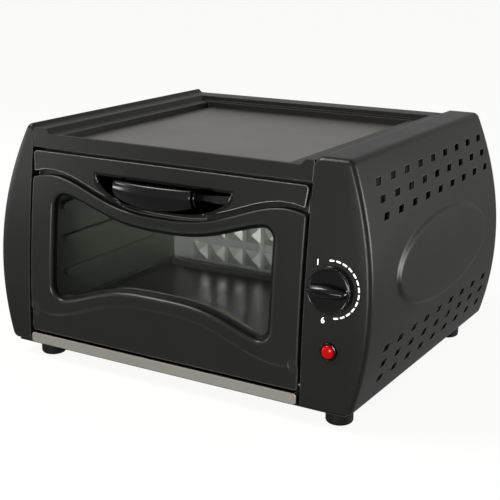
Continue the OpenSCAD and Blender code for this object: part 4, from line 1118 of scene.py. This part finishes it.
@dataclass
class Handle:
    """Gloss grip shaped like a barrel, in front of a gloss dish."""

    shape: DoorShape = field(default_factory=DoorShape)
    half: float = 43.0
    reach: Point = (12.0, 16.5)
    low_z: float = 151.6
    rise: float = 6.5
    top_z: float = 173.2
    back_z: float = 169.6
    back: float = 11.0
    nose_r: float = 1.5
    lip_r: float = 3.4
    bulge: float = 1.6
    tail: Point = (1.5, 0.6)
    wall: float = 2.2
    edge_r: float = 1.2
    cup_half: float = 73.0
    cup_top: float = 172.5
    cup_low: float = 147.2
    cup_start: float = 0.3
    cup_deep: float = 12.4
    cup_wall: float = 1.0
    mouth_half: float = 45.0
    mouth_rise: float = 5.8
    mouth_soft: float = 2.5
    spine: Point = (46.0, 162.0)
    border: tuple[Point, ...] = ((2.6, -0.12), (0.8, -0.14), (0.3, 0.0))
    grip_steps: int = 48
    cup_steps: int = 16
    top_steps: int = 90
    bow_steps: int = 150

    def section(self, x: float) -> list[Point]:
        """Profile of the grip at x, as depth and height, from its top back edge to its lip."""
        share = 1 - (x / self.half) ** 2
        front = -self.reach[0] - (self.reach[1] - self.reach[0]) * share
        low = self.low_z + self.rise * (x / self.half) ** 2
        nose, lip = self.nose_r, self.lip_r
        start, end = self.top_z - nose, low + lip
        path = list(zip(spread(self.back, front + nose, 8), spread(self.back_z, self.top_z, 8)))
        path[-1:] = arc(front + nose, start, nose, 90, 180, 5)
        path += [
            (front - self.bulge * math.sin(math.pi * t), lerp(start, end, t))
            for t in spread(0, 1, 12)[1:-1]
        ]
        path += arc(front + lip, end, lip, 180, 270, 7)
        path.append((front + lip + self.tail[0], low + self.tail[1]))
        return path

    def grip(self) -> Object:
        """The barrel-shaped grip with its end walls."""
        face = FRONT.y((self.low_z + self.cup_top) / 2)
        rows = []
        for x in spread(-self.half, self.half, self.grip_steps):
            rows.append([at(x, face + y, z) for y, z in self.section(x)])
        for place, x in ((0, -self.half), (len(rows), self.half)):
            rows.insert(place, [at(x, face + self.back, z) for _, z in self.section(x)])
        piece = grid_of("gloss_grip", rows)
        tidy_mesh(piece)
        front = min(piece.data.polygons, key=lambda p: p.center.y)
        if front.normal.y > 0:
            piece.data.flip_normals()
        modify(piece, "SOLIDIFY", thickness=self.wall * MM, offset=-1.0)
        modify(
            piece, "BEVEL", width=self.edge_r * MM, segments=4, limit_method="ANGLE",
            angle_limit=math.radians(50), use_clamp_overlap=False,
        )
        shade(piece, 50)
        return mount(piece, "gloss_black", "door", "door_handle")

    def cup_loop(self) -> list[Point]:
        """Outline of the dish: flat on top, bowed below, open behind the grip."""
        half = self.cup_half
        loop = [(x, self.cup_top) for x in spread(half, -half, self.top_steps)]
        drop = self.cup_top - self.cup_low
        for x in spread(-half, half, self.bow_steps)[1:-1]:
            z = self.cup_top - drop * math.sqrt(max(1 - (x / half) ** 2, 0))
            if abs(x) < self.mouth_half:
                z = min(z, self.shape.door_wave(x) + self.mouth_rise)
            loop.append((x, z))
        return loop

    def widen(self, place: int, x: float, z: float, grow: float) -> Point:
        """A point of the dish's outline moved out over the door's face.

        Args:
            place: Its number in the outline.
            x: Its place across.
            z: Its height.
            grow: How far it moves, except at the open mouth.

        Returns:
            The moved point.
        """
        wide = x * (1 + grow / self.cup_half)
        if place <= self.top_steps or place > self.top_steps + self.bow_steps:
            return wide, z + grow
        share = smooth((abs(x) - self.mouth_half) / self.mouth_soft)
        return lerp(x, wide, share), z - grow * share

    def cup(self) -> Object:
        """The gloss dish behind the grip, hollowed like the bowl of a spoon."""
        outline = self.cup_loop()
        rows = []
        for grow, deep in self.border:
            row = [self.widen(i, *outline[i % len(outline)], grow) for i in range(len(outline) + 1)]
            rows.append([at(x, FRONT.y(z) + deep, z) for x, z in row])
        for s in spread(0, 1, self.cup_steps):
            deep = lerp(self.cup_start, self.cup_deep, math.sqrt(1 - (1 - s) ** 2))
            row = []
            for x, z in [*outline, outline[0]]:
                end_x = max(min(x, self.spine[0]), -self.spine[0])
                px, pz = lerp(x, end_x, s), lerp(z, self.spine[1], s)
                row.append(at(px, FRONT.y(pz) + deep, pz))
            rows.append(row)
        piece = grid_of("gloss_cup", rows)
        tidy_mesh(piece)
        middle = max(piece.data.polygons, key=lambda p: p.center.y)
        if middle.normal.y > 0:
            piece.data.flip_normals()
        modify(piece, "SOLIDIFY", thickness=self.cup_wall * MM, offset=-1.0)
        shade(piece, 60)
        return mount(piece, "gloss_black", "door", "handle_cup")

    def build(self) -> None:
        """Builds dish and grip."""
        self.cup()
        self.grip()


# ---------------------------------------------------------------- controls


@dataclass
class ControlPanel:
    """Knob, pilot lamp and the printed dial on the right cover."""

    centre_x: float = 175.2
    knob_z: float = 106.5
    lamp_z: float = 54.0
    bar_half: float = 18.3
    bar_w: float = 6.0
    dial_r: float = 24.0
    dashes: int = 13
    dash_start: float = 102.0
    dash_pitch: float = 14.4
    dash_share: float = 0.7
    dash_w: float = 1.4
    print_t: float = 0.12
    numeral_h: float = 7.0
    numeral_bold: float = 0.12
    numerals: tuple[tuple[str, Point], ...] = (("1", (-16.5, 18.6)), ("6", (-8.5, -29.0)))
    skirt: tuple[Point, ...] = (
        (3.05, -8.3), (17.3, -8.3), (17.8, -8.6), (18.3, -8.8), (18.8, -8.7), (19.1, -8.2),
        (19.2, -7.4), (19.2, -2.6), (19.5, -2.3), (19.5, -1.4), (19.1, -1.0), (17.6, -1.0),
        (17.6, -6.4), (3.05, -6.4),
    )
    bar: tuple[tuple[float, float, float], ...] = (
        (-6.6, 1.0, 1.0), (-10.0, 0.98, 1.0), (-12.5, 0.9, 0.99), (-14.5, 0.78, 0.97),
        (-16.1, 0.6, 0.94), (-17.0, 0.38, 0.9), (-17.4, 0.14, 0.86),
    )
    bar_sides: int = 64
    bar_power: float = 0.75
    bar_crown: float = 0.16
    crown_from: float = -9.0
    mark: tuple[Point, ...] = ((16.9, -0.4), (17.5, -0.4), (17.4, 3.4), (16.8, 3.4))
    mark_y: float = -8.42
    bezel: tuple[Point, ...] = (
        (5.9, 9.0), (5.9, -1.2), (6.1, -2.0), (6.5, -2.4), (6.9, -2.4), (7.4, -2.2), (7.8, -1.6),
        (7.9, -0.9), (7.9, -0.2), (6.6, -0.2), (6.6, 9.0),
    )
    lens_r: float = 5.78
    lens_back: float = 6.0
    lens_rim: float = -1.6
    lens_dome: float = 2.4
    lens_tip: float = 0.4
    sides: int = 72

    def frame_at(self, z: float) -> Matrix:
        """Matrix of the panel's own frame at height z: X right, Y into the panel, Z up."""
        place = at(self.centre_x, FRONT.y(z), z)
        return Matrix.Translation(place) @ Matrix.Rotation(-FRONT.tilt(z), 4, "X")

    @staticmethod
    def on(place: Matrix, x: float, y: float, z: float) -> Vector:
        """The frame's point of a point of the panel's own frame, in millimetres."""
        return place @ (Vector((x, y, z)) * MM)

    def circle(self, r: float, y: float, place: Matrix) -> list[Vector]:
        """A circle of points square to the panel."""
        turn = spread(0, 2 * math.pi, self.sides)[:-1]
        return [self.on(place, r * math.cos(a), y, r * math.sin(a)) for a in turn]

    def lathe(
        self, name: str, profile: Sequence[Point], place: Matrix, ring: bool = False
    ) -> Object:
        """A turned shape.

        Args:
            name: The piece's name.
            profile: Radius and depth of each ring.
            place: The panel's frame.
            ring: Whether the last ring joins the first.

        Returns:
            The turned piece.
        """
        piece = loft(name, [self.circle(r, y, place) for r, y in profile], ring=ring)
        shade(piece, 30)
        return piece

    def knob(self) -> None:
        """Skirt with a thin raised rim, and a leaf-shaped finger bar."""
        place = self.frame_at(self.knob_z)
        skirt = self.lathe("knob_skirt", self.skirt, place, ring=True)
        loops = []
        for y, width, length in self.bar:
            loop = []
            for a in spread(0, 2 * math.pi, self.bar_sides)[:-1]:
                x = self.bar_half * length * math.cos(a)
                half = self.bar_w * width * abs(math.sin(a)) ** self.bar_power
                sunk = self.bar_crown * (x / self.bar_half) ** 2 if y < self.crown_from else 0.0
                loop.append(self.on(place, x, y * (1 - sunk), math.copysign(half, math.sin(a))))
            loops.append(loop)
        bar = loft("knob_bar", loops)
        shade(bar, 60)
        mount(join("knob_turned", [skirt, bar]), "gloss_black", "knob", "control_knob")
        mark = self.plate("knob_mark", self.mark, place, self.mark_y)
        mount(mark, "panel_print", "knob")

    def plate(self, name: str, outline: Sequence[Point], place: Matrix, y: float) -> Object:
        """A thin printed patch.

        Args:
            name: The piece's name.
            outline: Its corners in the panel's plane.
            place: The panel's frame.
            y: Depth of its outer side.

        Returns:
            The patch.
        """
        depths = (y, y + self.print_t)
        return loft(name, [[self.on(place, x, deep, z) for x, z in outline] for deep in depths])

    def dial(self) -> None:
        """White dashes from twelve to six o'clock and plain numerals at both ends."""
        place = self.frame_at(self.knob_z)
        patches = []
        half = self.dash_pitch * self.dash_share / 2
        for i in range(self.dashes):
            middle = self.dash_start - (i + 0.5) * self.dash_pitch
            low, high = self.dial_r - self.dash_w / 2, self.dial_r + self.dash_w / 2
            outline = arc(0, 0, low, middle - half, middle + half, 2)
            outline += arc(0, 0, high, middle + half, middle - half, 2)
            patches.append(self.plate("dash", outline, place, -self.print_t))
        mount(join("dial_dashes", patches), "panel_print", "body")
        for text, spot in self.numerals:
            self.numeral(text, spot, place)

    def numeral(self, text: str, spot: Point, place: Matrix) -> None:
        """One printed numeral.

        Args:
            text: The numeral.
            spot: Its lower left corner in the panel's plane.
            place: The panel's frame.
        """
        deselect()
        bpy.ops.object.text_add()
        letter = bpy.context.object
        letter.data.body = text
        letter.data.size = self.numeral_h * MM
        letter.data.offset = self.numeral_bold * MM
        letter.data.extrude = self.print_t / 2 * MM
        bpy.ops.object.convert(target="MESH")
        letter = bpy.context.object
        letter.name = letter.data.name = f"numeral_{text}"
        stand = Matrix.Rotation(math.pi / 2, 4, "X")
        shift = Matrix.Translation(Vector((spot[0], -self.print_t / 2, spot[1])) * MM)
        letter.data.transform(place @ shift @ stand)
        tidy_mesh(letter)
        mount(letter, "panel_print", "body")

    def lamp(self) -> None:
        """Rounded black bezel and a red domed lens."""
        place = self.frame_at(self.lamp_z)
        bezel = self.lathe("lamp_bezel_ring", self.bezel, place, ring=True)
        mount(bezel, "gloss_black", "body", "pilot_lamp_bezel")
        dome = [(self.lens_r, self.lens_back), (self.lens_r, self.lens_rim)]
        dome += [
            (self.lens_r * math.cos(a), self.lens_rim - self.lens_dome * math.sin(a))
            for a in spread(0, math.pi / 2, 8)[1:-1]
        ]
        dome.append((self.lens_tip, self.lens_rim - self.lens_dome))
        lens = self.lathe("lamp_lens_dome", dome, place)
        mount(lens, "red_lens", "body", "pilot_lamp_lens")

    def build(self) -> None:
        """Builds all controls."""
        self.knob()
        self.dial()
        self.lamp()


# ---------------------------------------------------------------- studio


@dataclass
class Studio:
    """Floor, lamps, world and the photograph's camera."""

    lens: float = 79.014
    sensor: float = 36.0
    yaw: float = 0.5405
    pitch: float = 0.2789
    roll: float = 0.0028
    eye: Point = (554.93, -757.02, 383.37)
    floor_half: float = 14.0
    floor_z: float = -0.0002
    floor_white: float = 0.92
    floor_glossy: float = 0.3
    room_light: float = 0.4
    floor_colour: Colour = (0.86, 0.86, 0.85)
    white: Colour = (1.0, 1.0, 0.995)
    clip: Point = (0.05, 100.0)
    aim: Vector = field(default_factory=lambda: Vector((0, 0, 0.1)))
    lamps: tuple[tuple[str, Vector, float, float], ...] = (
        ("key_softbox", Vector((-0.95, -0.55, 1.6)), 0.7, 28.0),
        ("low_softbox", Vector((-1.45, -1.0, 0.3)), 0.35, 5.0),
        ("front_softbox", Vector((0.3, -1.8, 0.34)), 0.5, 24.0),
        ("right_softbox", Vector((2.0, 0.9, 0.35)), 1.0, 52.0),
    )

    def camera(self) -> None:
        """Places the camera at the photograph's viewpoint."""
        right = Vector((math.cos(self.yaw), math.sin(self.yaw), 0))
        ahead = Vector((
            -math.sin(self.yaw) * math.cos(self.pitch),
            math.cos(self.yaw) * math.cos(self.pitch),
            -math.sin(self.pitch),
        ))
        up = right.cross(ahead)
        turn = Matrix.Rotation(-self.roll, 3, ahead)
        right, up = turn @ right, turn @ up
        data = bpy.data.cameras.new("photo_camera")
        data.lens, data.sensor_width = self.lens, self.sensor
        data.clip_start, data.clip_end = self.clip
        camera = bpy.data.objects.new("photo_camera", data)
        camera.matrix_world = Matrix((
            (right.x, up.x, -ahead.x, 0), (right.y, up.y, -ahead.y, 0),
            (right.z, up.z, -ahead.z, 0), (0, 0, 0, 1),
        ))
        camera.location = at(*self.eye)
        bpy.context.scene.collection.objects.link(camera)
        bpy.context.scene.camera = camera

    def floor(self) -> None:
        """A wide pale floor that shows white and keeps the body's shadow."""
        deselect()
        bpy.ops.mesh.primitive_plane_add(size=2 * self.floor_half, location=(0, 0, self.floor_z))
        plane = bpy.context.object
        plane.name = "studio_floor"
        material, s = fresh("studio_floor")
        path = s.add("ShaderNodeLightPath").outputs
        pale = s.add("ShaderNodeBsdfDiffuse", {0: self.floor_colour}).outputs[0]
        white = s.add("ShaderNodeEmission", {0: self.white}).outputs[0]
        calm = s.add("ShaderNodeEmission", {1: self.floor_glossy}).outputs[0]
        clear = s.add("ShaderNodeBsdfTransparent").outputs[0]
        seen = s.maths("MAXIMUM", path["Is Camera Ray"], path["Is Transmission Ray"])
        half = s.mix(s.maths("MULTIPLY", seen, self.floor_white), pale, white)
        soft = s.mix(path["Is Glossy Ray"], half, calm)
        back = s.add("ShaderNodeNewGeometry").outputs["Backfacing"]
        s.add("ShaderNodeOutputMaterial", {0: s.mix(back, soft, clear)})
        plane.data.materials.append(material)

    def world(self) -> None:
        """A dim room for lighting and a white one for the eye."""
        world = bpy.data.worlds.new("studio_world")
        bpy.context.scene.world = world
        world.use_nodes = True
        s = Sheet(world.node_tree)
        dim = s.add("ShaderNodeBackground", {0: (1.0, 1.0, 1.0), 1: self.room_light}).outputs[0]
        white = s.add("ShaderNodeBackground", {0: self.white}).outputs[0]
        seen = s.add("ShaderNodeLightPath").outputs["Is Camera Ray"]
        s.add("ShaderNodeOutputWorld", {0: s.mix(seen, dim, white)})

    def lamp(self, name: str, place: Vector, size: float, power: float) -> None:
        """One square soft light that faces the oven.

        Args:
            name: Its name.
            place: Where it stands, in metres.
            size: Its side in metres.
            power: Its power in watts.
        """
        data = bpy.data.lights.new(name, "AREA")
        data.shape, data.size, data.energy = "SQUARE", size, power
        light = bpy.data.objects.new(name, data)
        light.location = place
        light.rotation_euler = (self.aim - place).to_track_quat("-Z", "Y").to_euler()
        bpy.context.scene.collection.objects.link(light)

    def build(self) -> None:
        """Sets up the whole studio."""
        bpy.context.scene.view_settings.view_transform = "Standard"
        self.camera()
        self.floor()
        self.world()
        for lamp in self.lamps:
            self.lamp(*lamp)


# ---------------------------------------------------------------- main


def main() -> None:
    """Builds the studio and every piece in order."""
    logging.basicConfig(level=logging.INFO, format="%(name)s: %(message)s")
    Studio().build()
    SideCover(Side.LEFT, 36.5).build()
    SideCover(Side.RIGHT, 60.7).build()
    WindowPanel().build()
    InnerPlate().build()
    Handle().build()
    ControlPanel().build()
    EasedParts().build()
    dress_plain()


if __name__ == "__main__":
    main()
